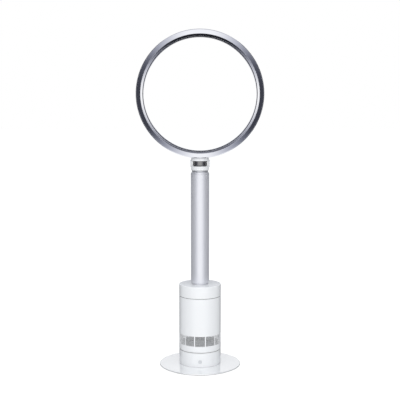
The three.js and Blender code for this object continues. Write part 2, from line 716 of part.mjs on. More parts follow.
/** Inner radius of the bucket at a height: it widens along the blades' tips. */
function shroudR(z) {
  const share = Math.min(1, Math.max(0, (z - bucketZ) / BUCKET_CONE_H));
  const throat = BELL_THROAT_R + THROAT_STEP;
  return throat + (bucketInnerR - throat) * share * (2 - share);
}

function motorBucket() {
  const flangeR = bodyInnerR - BUCKET_FLANGE_INSET;
  const coneZ = [0, 0.5, 1].map((share) => bucketZ + share * BUCKET_CONE_H);
  return turnedZ([
    ...coneZ.map((z) => at(shroudR(z), z)), at(bucketInnerR, bucketTop), at(BUCKET_R, bucketTop),
    ...coneZ.slice(1).reverse().map((z) => at(shroudR(z) + BUCKET_WALL, z)),
    at(shroudR(bucketFlangeTop) + BUCKET_WALL, bucketFlangeTop), at(flangeR, bucketFlangeTop),
    at(flangeR, bucketZ),
  ], INNER_SIDES);
}

/** A mixed-flow impeller: swept blades on a hub that widens towards the outlet. */
function impeller() {
  const hubR = (share) => HUB_NOSE_R + (HUB_R - HUB_NOSE_R) * share ** 1.5;
  const boreR = SHAFT_R + FIT;
  const bossR = boreR + HUB_BOSS_WALL;
  const insideZ = impellerZ + HUB_WALL;
  const hub = turnedZ([
    ...[0, 0.5, 1].map((share) => at(hubR(share), impellerZ + share * IMPELLER_H)),
    at(HUB_R - HUB_WALL, impellerTop), at(HUB_NOSE_R - HUB_WALL, insideZ + HUB_WALL), at(bossR, insideZ),
    at(bossR, impellerTop), at(boreR, impellerTop), at(boreR, impellerZ),
  ], 2 * BLADES);
  const place = (u, v) => {
    const z = impellerZ + 1.5 + u * (IMPELLER_H - 2.5);
    const root = hubR((z - impellerZ) / IMPELLER_H) - 1.6;
    return [root + v * (shroudR(z) - BLADE_TIP_GAP - root), u * BLADE_SWEEP, z];
  };
  return joined(hub, ...aroundZ(BLADES, () => blade(2, place, BLADE_T)));
}

const bearing = (low) => ring(SHAFT_R + FIT, BEARING_R, low, low + BEARING_H, 14);

/** The motor's can, with bearing seats inside and straightening vanes outside. */
function statorHousing() {
  const sides = 2 * STATOR_VANES;
  const seatR = bore(BEARING_R + FIT, sides);
  const coilSeatR = bore(COIL_R + FIT, sides);
  const noseZ = canTop - CAN_NOSE_H;
  const seatTop = bearingHighZ + BEARING_H + FIT;
  const can = turnedZ([
    at(seatR, canZ), at(CAN_R, canZ), at(CAN_R, noseZ), at(CAN_R * 0.8, noseZ + CAN_NOSE_H * 0.6),
    at(CAN_R * 0.4, canTop), at(0, canTop), at(0, canTop - CAN_WALL),
    at(SHAFT_R + 1, canTop - CAN_WALL), at(SHAFT_R + 1, seatTop), at(seatR, seatTop),
    at(seatR, bearingHighZ), at(coilSeatR, bearingHighZ), at(coilSeatR, canZ + CAN_WALL),
    at(seatR, canZ + CAN_WALL),
  ], sides);
  const vaneEnd = facetR(bucketInnerR, INNER_SIDES) - FIT;
  const vaneRoot = facetR(CAN_R, sides) - 1;
  const place = (u, v) => [vaneRoot + v * (vaneEnd - vaneRoot), u * VANE_SWEEP, canZ + 4 + u * VANE_H];
  return joined(can, ...aroundZ(STATOR_VANES, () => blade(2, place, VANE_T)));
}

const motorCoils = () => ring(ROTOR_R + ROTOR_GAP, COIL_R, coilZ, coilZ + COIL_H, 18);
const motorRotor = () => ring(SHAFT_R + FIT, ROTOR_R, coilZ, coilZ + COIL_H, 14);
const motorShaft = () => bar(SHAFT_R, impellerZ - NUT_H - FIT, bearingHighZ + BEARING_H);
const impellerNut = () =>
  cut(
    bar(NUT_R, impellerZ - FIT - NUT_H, impellerZ - FIT, 6),
    bar(bore(SHAFT_R + FIT, SMALL_SIDES), impellerZ - NUT_H - 1, impellerZ + 1),
  );

function silencerFoam() {
  const low = bucketFlangeTop + FIT;
  return ring(BUCKET_R + FIT, bodyInnerR - FIT, low, bucketTop - FOAM_SHORT);
}

/** The duct that narrows from the bucket's rim to the pole's inner tube. */
function outletCone() {
  const footR = BUCKET_R - CONE_WALL;
  const mouthR = innerTubeR - CONE_WALL / 2;
  const line = [
    at(footR, bucketTop + FIT), at(footR, bucketTop + 5), at(mouthR, socketZ - CONE_NECK),
    at(mouthR, innerTubeZ - FIT),
  ];
  return turnedZ(wallOutline(line, CONE_WALL), INNER_SIDES);
}

// ---------------------------------------------------------------- telescopic pole
const innerTube = () =>
  ring(innerTubeR - INNER_WALL, innerTubeR, innerTubeZ, innerTubeTop, TUBE_SIDES);
const guideBush = () =>
  ring(innerTubeR + FIT, facetR(poleInnerR, TUBE_SIDES) - RUN, innerTubeTop - BUSH_L, innerTubeTop);

function sleeveBush() {
  const low = sleeveZ + BUSH_INSET;
  return ring(innerTubeR + RUN, facetR(poleInnerR, TUBE_SIDES) - FIT, low, low + BUSH_L);
}

const poleSleeve = () =>
  turnedZ(softened([
    [poleInnerR, sleeveZ], [POLE_R - 0.7, sleeveZ], [POLE_R, sleeveZ + 0.7], [POLE_R, sleeveTop],
    [poleInnerR, sleeveTop],
  ]), TUBE_SIDES);

function sleeveCap() {
  const spigotR = facetR(poleInnerR, TUBE_SIDES) - FIT;
  const spigotZ = sleeveCapZ - SLEEVE_CAP_SPIGOT;
  const boreR = bore(NECK_SPIGOT_R + FIT, TUBE_SIDES);
  return turnedZ([
    at(spigotR, spigotZ), at(spigotR, sleeveCapZ), at(POLE_R, sleeveCapZ),
    at(POLE_R, sleeveCapZ + SLEEVE_CAP_EDGE), at(POLE_R - SLEEVE_CAP_CHAMFER, sleeveCapTop),
    at(boreR, sleeveCapTop), at(boreR, spigotZ),
  ], TUBE_SIDES);
}

// ---------------------------------------------------------------- neck
const neckSeal = () =>
  ring(NECK_SPIGOT_R + FIT, NECK_SPIGOT_R + SEAL_W, sealZ, sealZ + SEAL_H, TUBE_SIDES);

const BOTH_SIDES = [-1, 1];
const pinBore = (radius) => barX(bore(radius, SMALL_SIDES), -upperEarEnd - 5, upperEarEnd + 5);

/** A round ear, disc or recess on the pivot's axis, at this distance range from the middle. */
const onPivot = (radius, side, from, to, sides = INNER_SIDES) => barX(radius, side * from, side * to, sides);

function lowerYoke() {
  const cuffBoreR = bore(BELLOWS_CUFF_R + FIT, TUBE_SIDES);
  const cuffZ = windowZ - BELLOWS_CUFF_L - FIT;
  const spigotBoreR = NECK_SPIGOT_R - NECK_SPIGOT_WALL;
  const collar = turnedZ(softened([
    [spigotBoreR, yokeZ - NECK_SPIGOT_L], [NECK_SPIGOT_R, yokeZ - NECK_SPIGOT_L], [NECK_SPIGOT_R, yokeZ],
    [neckR, yokeZ, NECK_EDGE], [neckR, windowZ, NECK_EDGE], [cuffBoreR, windowZ], [cuffBoreR, cuffZ],
    [spigotBoreR, cuffZ],
  ]), TUBE_SIDES).translate(0, 0, -pivotZ);
  const notches = BOTH_SIDES.map((side) => onPivot(EAR_R + RUN, side, lowerEarEnd + FIT, neckR + 5));
  const ears = BOTH_SIDES.map((side) => onPivot(EAR_R, side, lowerEarX, lowerEarEnd));
  return cut(joined(cut(collar, ...notches), ...ears), pinBore(PIVOT_R + FIT)).translate(0, 0, pivotZ);
}

function upperYoke() {
  const cuffBoreR = bore(BELLOWS_CUFF_R + FIT, TUBE_SIDES);
  const blankTop = loopBottom + 6;
  const collar = turnedZ(softened([
    [cuffBoreR, windowTop], [neckR, windowTop, NECK_EDGE], [neckR, blankTop], [cuffBoreR, blankTop],
  ]), TUBE_SIDES).translate(0, 0, -pivotZ);
  const underLoop = barY(bore(LOOP_R + FIT, LOOP_SIDES), -neckR - 5, neckR + 5, LOOP_SIDES)
    .translate(0, 0, loopZ - pivotZ);
  const notches = BOTH_SIDES.map((side) => onPivot(EAR_R + RUN, side, lowerEarX - 5, upperEarX - FIT));
  const ears = BOTH_SIDES.map((side) => onPivot(EAR_R, side, upperEarX, upperEarEnd));
  const capSeats = BOTH_SIDES.map((side) =>
    onPivot(bore(PIVOT_CAP_R + FIT, INNER_SIDES), side, capSeatX, upperEarEnd + 2));
  const pinSeats = BOTH_SIDES.map((side) => onPivot(PIVOT_HEAD_R + RUN, side, pinSeatX - FIT, upperEarEnd));
  const body = joined(cut(collar, underLoop, ...notches), ...ears);
  return cut(body, ...capSeats, ...pinSeats, pinBore(PIVOT_R + RUN)).translate(0, 0, pivotZ);
}

const frictionWasher = (side) =>
  cut(onPivot(WASHER_R, side, lowerEarEnd + FIT, upperEarX - FIT, 16), pinBore(PIVOT_R + FIT))
    .translate(0, 0, pivotZ);

const pivotPin = (side) =>
  joined(
    onPivot(PIVOT_R, side, lowerEarX, pinSeatX + 0.5, SMALL_SIDES),
    onPivot(PIVOT_HEAD_R, side, pinSeatX, pinSeatX + PIVOT_HEAD_T, SMALL_SIDES),
  ).translate(0, 0, pivotZ);

function pivotCap(side) {
  const back = capSeatX + FIT;
  const profile = [at(0, back), at(PIVOT_CAP_R, back), at(PIVOT_CAP_R, upperEarEnd),
    at(0, upperEarEnd + PIVOT_CAP_CROWN)];
  return turnedX(profile, INNER_SIDES).rotateZ(side > 0 ? 0 : Math.PI).translate(0, 0, pivotZ);
}

/** A ribbed rubber duct: folds outside, between two plain cuffs, and a smooth bore. */
function tiltBellows() {
  const folds = BELLOWS_FOLDS * 2;
  const waveLow = windowZ + BELLOWS_PLAIN;
  const waveH = WINDOW_H - 2 * BELLOWS_PLAIN;
  const wave = Array.from({ length: folds + 1 }, (_, k) =>
    at(k % 2 ? BELLOWS_CREST_R : BELLOWS_ROOT_R, waveLow + (k / folds) * waveH));
  const boreR = BELLOWS_ROOT_R - BELLOWS_WALL;
  const low = windowZ - BELLOWS_CUFF_L;
  const high = loopBottom - FIT;
  return turnedZ([
    at(boreR, low), at(BELLOWS_CUFF_R, low), at(BELLOWS_CUFF_R, windowZ), ...wave,
    at(BELLOWS_CUFF_R, windowTop), at(BELLOWS_CUFF_R, high), at(boreR, high),
  ], INNER_SIDES);
}

// ---------------------------------------------------------------- air loop
/** Outer wall, rounded back and the lip that turns forward inside the opening, in one shell. */
function loopRearShell() {
  const half = LOOP_WALL / 2;
  const backY = LOOP_REAR - half;
  const line = softened([
    [shoulderR - half, shoulderY + FIT], [LOOP_R - half, -LOOP_WIDEST],
    [LOOP_R - LOOP_BACK_TAPER - half, backY, LOOP_BACK_ROUND], [lipR + half, backY, LIP_ROUND],
    [lipR + half, lipFrontY],
  ], ROUND_STEPS, false);
  const shell = turnedY(wallOutline(line, LOOP_WALL), LOOP_SIDES);
  const spacerTop = facetR(slotFaceR, LOOP_SIDES) - FIT;
  const spacers = Array.from({ length: SPACERS }, (_, k) =>
    block(lipR + half, spacerTop, lipFrontY + 1, lipFrontY + 1 + SPACER_L, -SPACER_W / 2, SPACER_W / 2)
      .rotateY((k * 2 * Math.PI) / SPACERS));
  const duct = bar(LOOP_DUCT_R, -LOOP_R - 5, -LOOP_R + 8, INNER_SIDES);
  return cut(joined(shell, ...spacers), duct).translate(0, 0, loopZ);
}

/** The inner wall that the air jet follows forward from the slot. */
function loopInnerShell() {
  const half = LOOP_WALL / 2;
  const faceR = slotFaceR + half;
  const line = [
    at(faceR + SLOT_FLARE, lipFrontY + SLOT_LAP + SLOT_FLARE), at(faceR, lipFrontY + SLOT_LAP),
    at(faceR, lipFrontY - SLOT_LIP_AHEAD), at(faceR + INNER_FLARE * 0.4, -INNER_FLARE_START),
    at(trimInnerR + half, trimInnerY + half + FIT),
  ];
  return turnedY(wallOutline(line, LOOP_WALL), LOOP_SIDES).translate(0, 0, loopZ);
}

/** The bright flared band round the front, from the inner wall out to the front edge. */
function loopFrontTrim() {
  const half = LOOP_WALL / 2;
  const line = [
    at(trimInnerR + half, trimInnerY), at(LOOP_R - TRIM_EDGE_INSET, frontY + half),
    at(shoulderR - half, shoulderY),
  ];
  return turnedY(wallOutline(line, LOOP_WALL), LOOP_SIDES).translate(0, 0, loopZ);
}

function loopGasket() {
  const outer = shoulderR - LOOP_WALL - FIT;
  const inner = outer - GASKET_SIDE;
  const low = shoulderY + FIT;
  const high = low + GASKET_SIDE;
  return turnedY([at(inner, low), at(outer, low), at(outer, high), at(inner, high)], LOOP_SIDES)
    .translate(0, 0, loopZ);
}

// ---------------------------------------------------------------- assembly
const fan = new THREE.Group();

function add(name, geometry, material) {
  const mesh = new THREE.Mesh(geometry, material);
  mesh.name = name;
  fan.add(mesh);
}

add("foot_ring", footRing(), RUBBER);
add("base_plate", basePlate(), WHITE);
add("ballast_disc", ballastDisc(), STEEL);
for (let k = 0; k < SCREW_COUNT; k++) add(`plate_screw_${k + 1}`, plateScrew(k), STEEL);
add("lower_housing", lowerHousing(), WHITE);
add("power_button", powerButton(), GREY);
add("control_board", controlBoard(), BOARD);
add("push_switch", pushSwitch(), DARK);
add("cord_gland", cordGland(), RUBBER);

add("drive_motor", driveMotor(), STEEL);
add("drive_pinion", drivePinion(), NYLON);
add("drive_sector", driveSector(), NYLON);
add("glide_ring", glideRing(), NYLON);
add("pivot_post", pivotPost(), GREY);
add("retaining_clip", retainingClip(), STEEL);
add("turntable", turntable(), GREY);

add("body_shell", bodyShell(), WHITE);
add("body_cap", bodyCap(), WHITE);
add("inlet_bellmouth", inletBellmouth(), GREY);
for (let k = 0; k < MOUNT_COUNT; k++) add(`rubber_mount_${k + 1}`, rubberMount(k), RUBBER);
add("motor_bucket", motorBucket(), GREY);
add("silencer_foam", silencerFoam(), FOAM);
add("impeller", impeller(), GREY);
add("impeller_nut", impellerNut(), STEEL);
add("motor_shaft", motorShaft(), STEEL);
add("motor_rotor", motorRotor(), STEEL);
add("motor_coils", motorCoils(), COPPER);
add("bearing_lower", bearing(bearingLowZ), STEEL);
add("bearing_upper", bearing(bearingHighZ), STEEL);
add("stator_housing", statorHousing(), GREY);
add("outlet_cone", outletCone(), GREY);

add("inner_tube", innerTube(), SILVER);
add("guide_bush", guideBush(), NYLON);
add("sleeve_bush", sleeveBush(), NYLON);
add("pole_sleeve", poleSleeve(), SILVER);
add("sleeve_cap", sleeveCap(), SILVER);

add("neck_seal", neckSeal(), RUBBER);
add("lower_yoke", lowerYoke(), WHITE);
add("upper_yoke", upperYoke(), WHITE);
for (const [hand, side] of [["left", -1], ["right", 1]]) {
  add(`friction_washer_${hand}`, frictionWasher(side), NYLON);
  add(`pivot_pin_${hand}`, pivotPin(side), STEEL);
  add(`pivot_cap_${hand}`, pivotCap(side), WHITE);
}
add("tilt_bellows", tiltBellows(), DARK);

add("loop_rear_shell", loopRearShell(), MIRROR_SILVER);
add("loop_inner_shell", loopInnerShell(), MIRROR_SILVER);
add("loop_front_trim", loopFrontTrim(), MIRROR_SILVER);
add("loop_gasket", loopGasket(), RUBBER);

export default fan;
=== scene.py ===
"""A bladeless pedestal fan in white gloss plastic and polished silver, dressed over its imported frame.

Metres, +Z up, and the front faces -Y. Every round piece is a profile turned about an axis: numpy works the
whole surface out on a grid of angles and profile points. Shapes are written in millimetres.
"""

import bpy
import numpy as np
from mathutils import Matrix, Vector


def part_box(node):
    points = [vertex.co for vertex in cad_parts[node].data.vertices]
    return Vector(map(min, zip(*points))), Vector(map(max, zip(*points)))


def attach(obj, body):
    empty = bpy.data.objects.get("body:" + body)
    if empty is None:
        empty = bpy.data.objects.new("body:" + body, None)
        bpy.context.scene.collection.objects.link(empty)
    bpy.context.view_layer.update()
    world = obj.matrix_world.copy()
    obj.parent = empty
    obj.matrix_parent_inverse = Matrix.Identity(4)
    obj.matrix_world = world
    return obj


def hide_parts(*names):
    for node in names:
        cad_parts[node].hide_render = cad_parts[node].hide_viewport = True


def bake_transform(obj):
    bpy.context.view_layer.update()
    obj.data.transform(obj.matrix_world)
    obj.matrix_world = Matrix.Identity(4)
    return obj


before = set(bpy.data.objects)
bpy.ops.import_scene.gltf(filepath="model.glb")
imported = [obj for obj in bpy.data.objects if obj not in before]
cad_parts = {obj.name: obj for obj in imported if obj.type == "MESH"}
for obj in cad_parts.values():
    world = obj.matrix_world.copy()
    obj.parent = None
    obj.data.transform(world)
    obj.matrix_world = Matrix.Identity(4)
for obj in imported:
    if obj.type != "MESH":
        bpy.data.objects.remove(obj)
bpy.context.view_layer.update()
scene = bpy.context.scene

# ---------------------------------------------------------------- the sizes of the real thing, in mm
MM = 0.001
FIT = 0.3  # gap between pieces that seat on each other
RUN = 0.4  # gap between pieces that turn on each other
PLATE_DROP = 2.6  # the plate's top falls this far from the housing out to the rim
PLATE_FILLET = 12
RIM_STEP = 1.3
RIM_UNDERCUT = 2
BALLAST_ROOM = 4
FOOT_W = 10
BODY_WALL = 2.5
DECK_H = 3
DECK_DROP = 3.6
CABLE_BORE = 8
BUTTON_R = 6.2
BUTTON_DISH = 0.35  # hollow of the button's face, for the finger
BUTTON_DISH_R = 5.3
BUTTON_PLAY = 0.8  # between its flange and the housing's wall
BUTTON_FLANGE_T = 1.2
BUTTON_STEM_R = 2
GLAND_R = 6
GLAND_BORE_R = 3.6
GLAND_TAPER = 1
PANELS = 12
PANEL_RIB = 3.6
INTAKE_LOW = 22.3  # above the shell's foot
INTAKE_H = 35.4
INTAKE_T = 1.2  # the wall is thinner behind the panels
INTAKE_MARGIN = 0.5  # the thin wall goes this far past the holes
INTAKE_STEP = 1.5  # and the full wall starts here
PANEL_HOLES = 11  # in each direction
HOLE_HALF = 1.46  # half the width of a hole
SHADE_LINING_IN = 0.8  # painted shade: the inner faces are painted black from this far inside the outer face
SEAM_EASE = 0.3  # each edge at a seam stands back by this
SHELL_RIM_T = 1.2  # the shell's top edge is a thin rim around the cap
SHELL_RIM_H = 1.5
CAP_GAP = 0.8
CAP_EDGE_R = 2.5
CAP_TOP_T = 3
CAP_LIP_T = 2.2
SOCKET_WALL = 5.5
SOCKET_H = 31
TUBE_WALL = 1.5
SLEEVE_CAP_SIDE = 2
SLEEVE_CAP_CHAMFER = 3.6
NECK_R = 31
NECK_SPIGOT_R = 24
NECK_SPIGOT_WALL = 3.5
NECK_BLANK = 6  # the upper yoke's blank reaches this far into the loop before it is cut
WINDOW_H = 18.5
EAR_R = 12.5
EAR_CLEAR = 0.2  # between the bellows and the lower ears
LOWER_EAR_T = 3
UPPER_EAR_T = 5.3
PIVOT_R = 3
PIVOT_HEAD_R = 5
PIVOT_HEAD_T = 1.5
PIVOT_CAP_R = 10.6
PIVOT_CAP_FACE_R = 10.1
PIVOT_CAP_T = 1.4
PIVOT_CAP_CROWN = 0.6
CUFF_R = 22
CUFF_L = 9
NECK_GROOVE = 0.8
NECK_GROOVE_DROP = 0.9  # below the loop
NECK_BEDDED = 1  # the upper yoke goes this far into the loop's wall
BELLOWS_FOLDS = 3
BELLOWS_CREST_R = 24.4
BELLOWS_ROOT_R = 24
BELLOWS_WALL = 1.2
BELLOWS_PLAIN = 1.5  # the folds start this far inside the window
LOOP_WALL = 1.6
LOOP_WIDEST = 10
LOOP_DEPTH = 24.6
LOOP_BACK_TAPER = 1.5
LOOP_BACK_ROUND = 24
LIP_L = 24
LIP_ROUND = 9
SLOT = 1.2
SLOT_LAP = 9
SLOT_FLARE = 4
SLOT_LIP_AHEAD = 4
LIP_FLARE = 1.1  # the lip's bore opens by this towards its thin front edge
LIP_EDGE_T = 0.3
INNER_FLARE = 4
INNER_FLARE_START = 4
INNER_FLARE_SHARE = 0.4  # of the flare, reached where it starts
LOOP_FRONT = 50.5
TRIM_DEPTH = 11.5
TRIM_EDGE_INSET = 5
SHOULDER_INSET = 2.2
SHOULDER_DEPTH = 6.5
WALL_EDGE = 0.5  # rounding of the loop walls' corners

LOOP_STEPS = 288  # angles round each size of piece
PLATE_STEPS = 192
HOUSING_STEPS = 288
BODY_STEPS = 144
TUBE_STEPS = 96
SMALL_STEPS = 48
ARC_STEPS = 7  # points along a rounded corner
FACE_STEPS = 8  # from the middle of a dished or crowned face to its edge
FOLD_STEPS = 16  # along each fold of the bellows, and along its bore
LONG_SIDE = 4  # a side longer than this stays flat up to its ends
FLAT_END = 0.15  # the most that its last stretch may take
FLAT_SHARE = 0.01
EXTRA = 5  # a cutting shape reaches this far past what it cuts
SHORT_EXTRA = 4  # the same for the pivots' bores
SEAT_EXTRA = 2  # and for the seats of their caps
CRISP = 38  # edges that turn more than this, in degrees, aren't smoothed
CUT_CRISP = 30


def low(node):
    """The lowest corner of a node's box, in mm."""
    return np.array(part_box(node)[0]) / MM


def high(node):
    """The highest corner of a node's box, in mm."""
    return np.array(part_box(node)[1]) / MM


# ---------------------------------------------------------------- camera
FRAME_PX = 400
FOCAL_PX = 880  # focal length, in pixels of the frame
CAMERA_PITCH = 6.16  # degrees down
CAMERA_PLACE = (0, -3.092, 0.929)

scene.view_settings.view_transform = "Standard"
lens = bpy.data.cameras.new("camera")
lens.sensor_width = 36
lens.lens = lens.sensor_width * FOCAL_PX / FRAME_PX
camera = bpy.data.objects.new("camera", lens)
camera.location = CAMERA_PLACE
camera.rotation_euler = (np.radians(90 - CAMERA_PITCH), 0, 0)
scene.collection.objects.link(camera)
scene.camera = camera


# ---------------------------------------------------------------- shader expressions
class Wire:
    """A socket that gives a value. Arithmetic on it adds Math nodes to its tree."""

    def __init__(self, graph, socket):
        self.graph = graph
        self.socket = socket

    def math(self, operation, *others):
        return self.graph.node("ShaderNodeMath", dict(enumerate((self, *others))), operation=operation)

    def __add__(self, other):
        return self.math("ADD", other)

    def __sub__(self, other):
        return self.math("SUBTRACT", other)

    def __mul__(self, other):
        return self.math("MULTIPLY", other)

    def __rsub__(self, other):
        return self.math("MULTIPLY", -1).math("ADD", other)

    __radd__ = __add__
    __rmul__ = __mul__

    def rise(self, start, end):
        """0 up to start, 1 from end on, and a smooth step between them."""
        limits = {"Value": self, "From Min": start, "From Max": end}
        return self.graph.node("ShaderNodeMapRange", limits, interpolation_type="SMOOTHSTEP")


class Graph:
    """The node tree of a material or of the world."""

    def __init__(self, owner):
        owner.use_nodes = True
        self.tree = owner.node_tree
        self.tree.nodes.clear()

    def node(self, kind, inputs=None, output=0, **settings):
        """Adds a node: its settings first, then the values and wires of its sockets. Gives one output."""
        made = self.tree.nodes.new(kind)
        for name, value in settings.items():
            setattr(made, name, value)
        for name, value in (inputs or {}).items():
            if isinstance(value, Wire):
                self.tree.links.new(value.socket, made.inputs[name])
            else:
                made.inputs[name].default_value = value
        return Wire(self, made.outputs[output]) if made.outputs else made

    def mix(self, share, first, second):
        """A colour between two others."""
        return self.node("ShaderNodeMix", {0: share, 6: first, 7: second}, output=2, data_type="RGBA")


# ---------------------------------------------------------------- the studio
AMBIENT = 0.6  # what matt surfaces receive from all round
AMBIENT_TINT = (0.91, 0.955, 1, 1)
SCREEN_DARK = 0.07  # dark screens at both sides, which the polished loop mirrors
SCREEN_BRIGHT = 0.98
SCREEN_TINT = (0.74, 0.78, 1, 1)
SCREEN_MIDDLE = 4  # degrees above the horizon
SCREEN_FADE = (26, 86)  # from dark to bright, in degrees from the middle
SCREEN_GLOW = 0.06  # what the screens gain below the horizon
SCREEN_GLOW_FADE = (5, 35)
FRONT_FADE = (112, 160)  # from the screens to the bright front, in degrees round from the back
BACK_FADE = (15, 26)  # from the back to the screens
BACK_DARK = 0.02  # dark screens behind, above and below a strip of bright horizon
BACK_STRIP = 0.95
STRIP_MIDDLE = 1
STRIP_FADE = (0, 12)
BACK_HIGH = 0.9  # what lies above and below those screens
ABOVE_FADE = (10.6, 12.6)
BELOW_FADE = (19, 25)
DIM_SHARE = 0.5  # what a dimmer zone above takes away
DIM_FADES = (24, 34), (50, 85)  # where it starts and ends


def studio():
    """
    The world. The camera sees white, and matt surfaces get an even ambient light. Glossy surfaces mirror a
    studio: white above and below, bright in front, dark screens at both sides, and behind the object a
    narrow strip of bright horizon between two dark screens.
    """
    world = bpy.data.worlds.new("studio")
    scene.world = world
    world.cycles.sampling_method = "NONE"
    graph = Graph(world)
    direction = graph.node("ShaderNodeTexCoord", output="Generated")
    x, y, z = (graph.node("ShaderNodeSeparateXYZ", {0: direction}, output=k) for k in range(3))
    lift = z.math("ARCSINE") * float(np.degrees(1))
    turn = x.math("ABSOLUTE").math("ARCTAN2", y) * float(np.degrees(1))  # 0 behind the object, 180 in front
    fade = (lift - SCREEN_MIDDLE).math("ABSOLUTE").rise(*SCREEN_FADE)
    side = SCREEN_DARK + (SCREEN_BRIGHT - SCREEN_DARK) * fade
    side = side + SCREEN_GLOW * (0 - lift).rise(*SCREEN_GLOW_FADE)
    front = turn.rise(*FRONT_FADE)
    strip = 1 - (lift - STRIP_MIDDLE).math("ABSOLUTE").rise(*STRIP_FADE)
    dim = lift.rise(*DIM_FADES[0]) * (1 - lift.rise(*DIM_FADES[1]))
    above = lift.rise(*ABOVE_FADE) * (1 - DIM_SHARE * dim)
    below = (0 - lift).rise(*BELOW_FADE)
    back = BACK_DARK + BACK_STRIP * strip + BACK_HIGH * (above + below)
    behind = 1 - turn.rise(*BACK_FADE)
    level = (side * (1 - front) + front) * (1 - behind) + back * behind
    tint = graph.mix(level, SCREEN_TINT, (1, 1, 1, 1))
    paths = {ray: graph.node("ShaderNodeLightPath", output=f"Is {ray} Ray") for ray in ("Camera", "Glossy")}
    matt = graph.node("ShaderNodeBackground", {"Strength": AMBIENT, "Color": AMBIENT_TINT})
    mirrored = graph.node("ShaderNodeBackground", {"Strength": level, "Color": tint})
    seen = graph.node("ShaderNodeBackground", {"Strength": 1, "Color": (1, 1, 1, 1)})
    lit = graph.node("ShaderNodeMixShader", {0: paths["Glossy"], 1: matt, 2: mirrored})
    shown = graph.node("ShaderNodeMixShader", {0: paths["Camera"], 1: lit, 2: seen})
    graph.node("ShaderNodeOutputWorld", {"Surface": shown})


FLOOR_HALF = 30  # metres
FLOOR_MATT = 0.3  # the part of the floor's white that a shadow can take away
FLOOR_GLOW = 0.42
FLOOR_SEEN_GLOW = 0.44  # what the camera sees on top of that


def floor():
    """A white floor that keeps the object's shadow. Polished pieces mirror the studio's own white there."""
    mesh = bpy.data.meshes.new("floor")
    corners = FLOOR_HALF * np.array([[-1, -1, 0], [1, -1, 0], [1, 1, 0], [-1, 1, 0]])
    mesh.from_pydata(corners.tolist(), [], [(0, 1, 2, 3)])
    made = bpy.data.objects.new("floor", mesh)
    scene.collection.objects.link(made)
    material = bpy.data.materials.new("floor")
    graph = Graph(material)
    matt = graph.node("ShaderNodeBsdfDiffuse", {"Color": (FLOOR_MATT, FLOOR_MATT, FLOOR_MATT, 1)})
    seen = graph.node("ShaderNodeLightPath", output="Is Camera Ray")
    level = FLOOR_GLOW + FLOOR_SEEN_GLOW * seen
    glow = graph.node("ShaderNodeEmission", {"Strength": level, "Color": (1, 1, 1, 1)})
    both = graph.node("ShaderNodeAddShader", {0: matt, 1: glow})
    graph.node("ShaderNodeOutputMaterial", {"Surface": both})
    mesh.materials.append(material)
    made.visible_glossy = False


def soft_box(name, place, aim, size, power):
    """A square lamp that points at a place. Polished pieces don't mirror it."""
    light = bpy.data.lights.new(name, "AREA")
    light.size = size
    light.energy = power
    made = bpy.data.objects.new(name, light)
    made.location = place
    made.rotation_euler = (Vector(aim) - Vector(place)).to_track_quat("-Z", "Y").to_euler()
    made.visible_glossy = False
    scene.collection.objects.link(made)


studio()
floor()
soft_box("front_box", place=(0, -4.4, 1.5), aim=(0, 0, 0.6), size=1.6, power=69)
soft_box("top_box", place=(0, -0.8, 4.2), aim=(0, 0, 0.3), size=2.4, power=55)


# ---------------------------------------------------------------- finishes
# painted shade: black put on the inner faces of white pieces, so that holes and seam gaps look as dark as
# their shadow
SHADE_LINING_BLACK = (0.03, 0.03, 0.033, 1)
GRAIN_DEPTH = 0.3 * MM
DRIFT_SCALE = 9


def finish(name, colour, roughness, metallic=0.0, coat=0.0, coat_ior=1.5, coat_roughness=0.05, grain=900,
           depth=0.05, lay=(1, 1, 1), mottle=0.03, gloss_drift=0.05, shade_lining=None):
    """
    A material with a fine grain in its bump and its gloss, and a slow drift of its colour and its gloss.
    lay stretches the grain along the axes, as on brushed or wound metal. The shade lining is a radius and a
    height in
    mm: nearer the pole's axis than that, up to that height, the piece is painted black, a painted shade for
    the dark inside its holes and seams.
    """
    material = bpy.data.materials.new(f"{name}_finish")
    graph = Graph(material)
    place = graph.node("ShaderNodeTexCoord", output="Object")
    laid = graph.node("ShaderNodeMapping", {"Vector": place, "Scale": lay})
    fine = graph.node("ShaderNodeTexNoise", {"Vector": laid, "Scale": grain, "Detail": 3})
    broad = graph.node("ShaderNodeTexNoise", {"Vector": place, "Scale": DRIFT_SCALE, "Detail": 2})
    darker = [(1 - mottle) * channel for channel in colour]
    shade = graph.mix(broad, (*darker, 1), (*colour, 1))
    # painted shade: black inner faces stand in for the shadow inside holes and seam gaps
    if shade_lining:
        x, y, z = (graph.node("ShaderNodeSeparateXYZ", {0: place}, output=k) for k in range(3))
        inside = (x * x + y * y).math("LESS_THAN", (shade_lining[0] * MM) ** 2)
        shade = graph.mix(inside * z.math("LESS_THAN", shade_lining[1] * MM), shade, SHADE_LINING_BLACK)
    bump = graph.node("ShaderNodeBump", {"Strength": depth, "Distance": GRAIN_DEPTH, "Height": fine})
    shader = graph.node("ShaderNodeBsdfPrincipled", {
        "Base Color": shade,
        "Roughness": roughness + gloss_drift * (broad - 0.5) + 0.5 * gloss_drift * (fine - 0.5),
        "Metallic": metallic,
        "Coat Weight": coat,
        "Coat Roughness": coat_roughness,
        "Coat IOR": coat_ior,
        "Normal": bump,
    })
    graph.node("ShaderNodeOutputMaterial", {"Surface": shader})
    return material


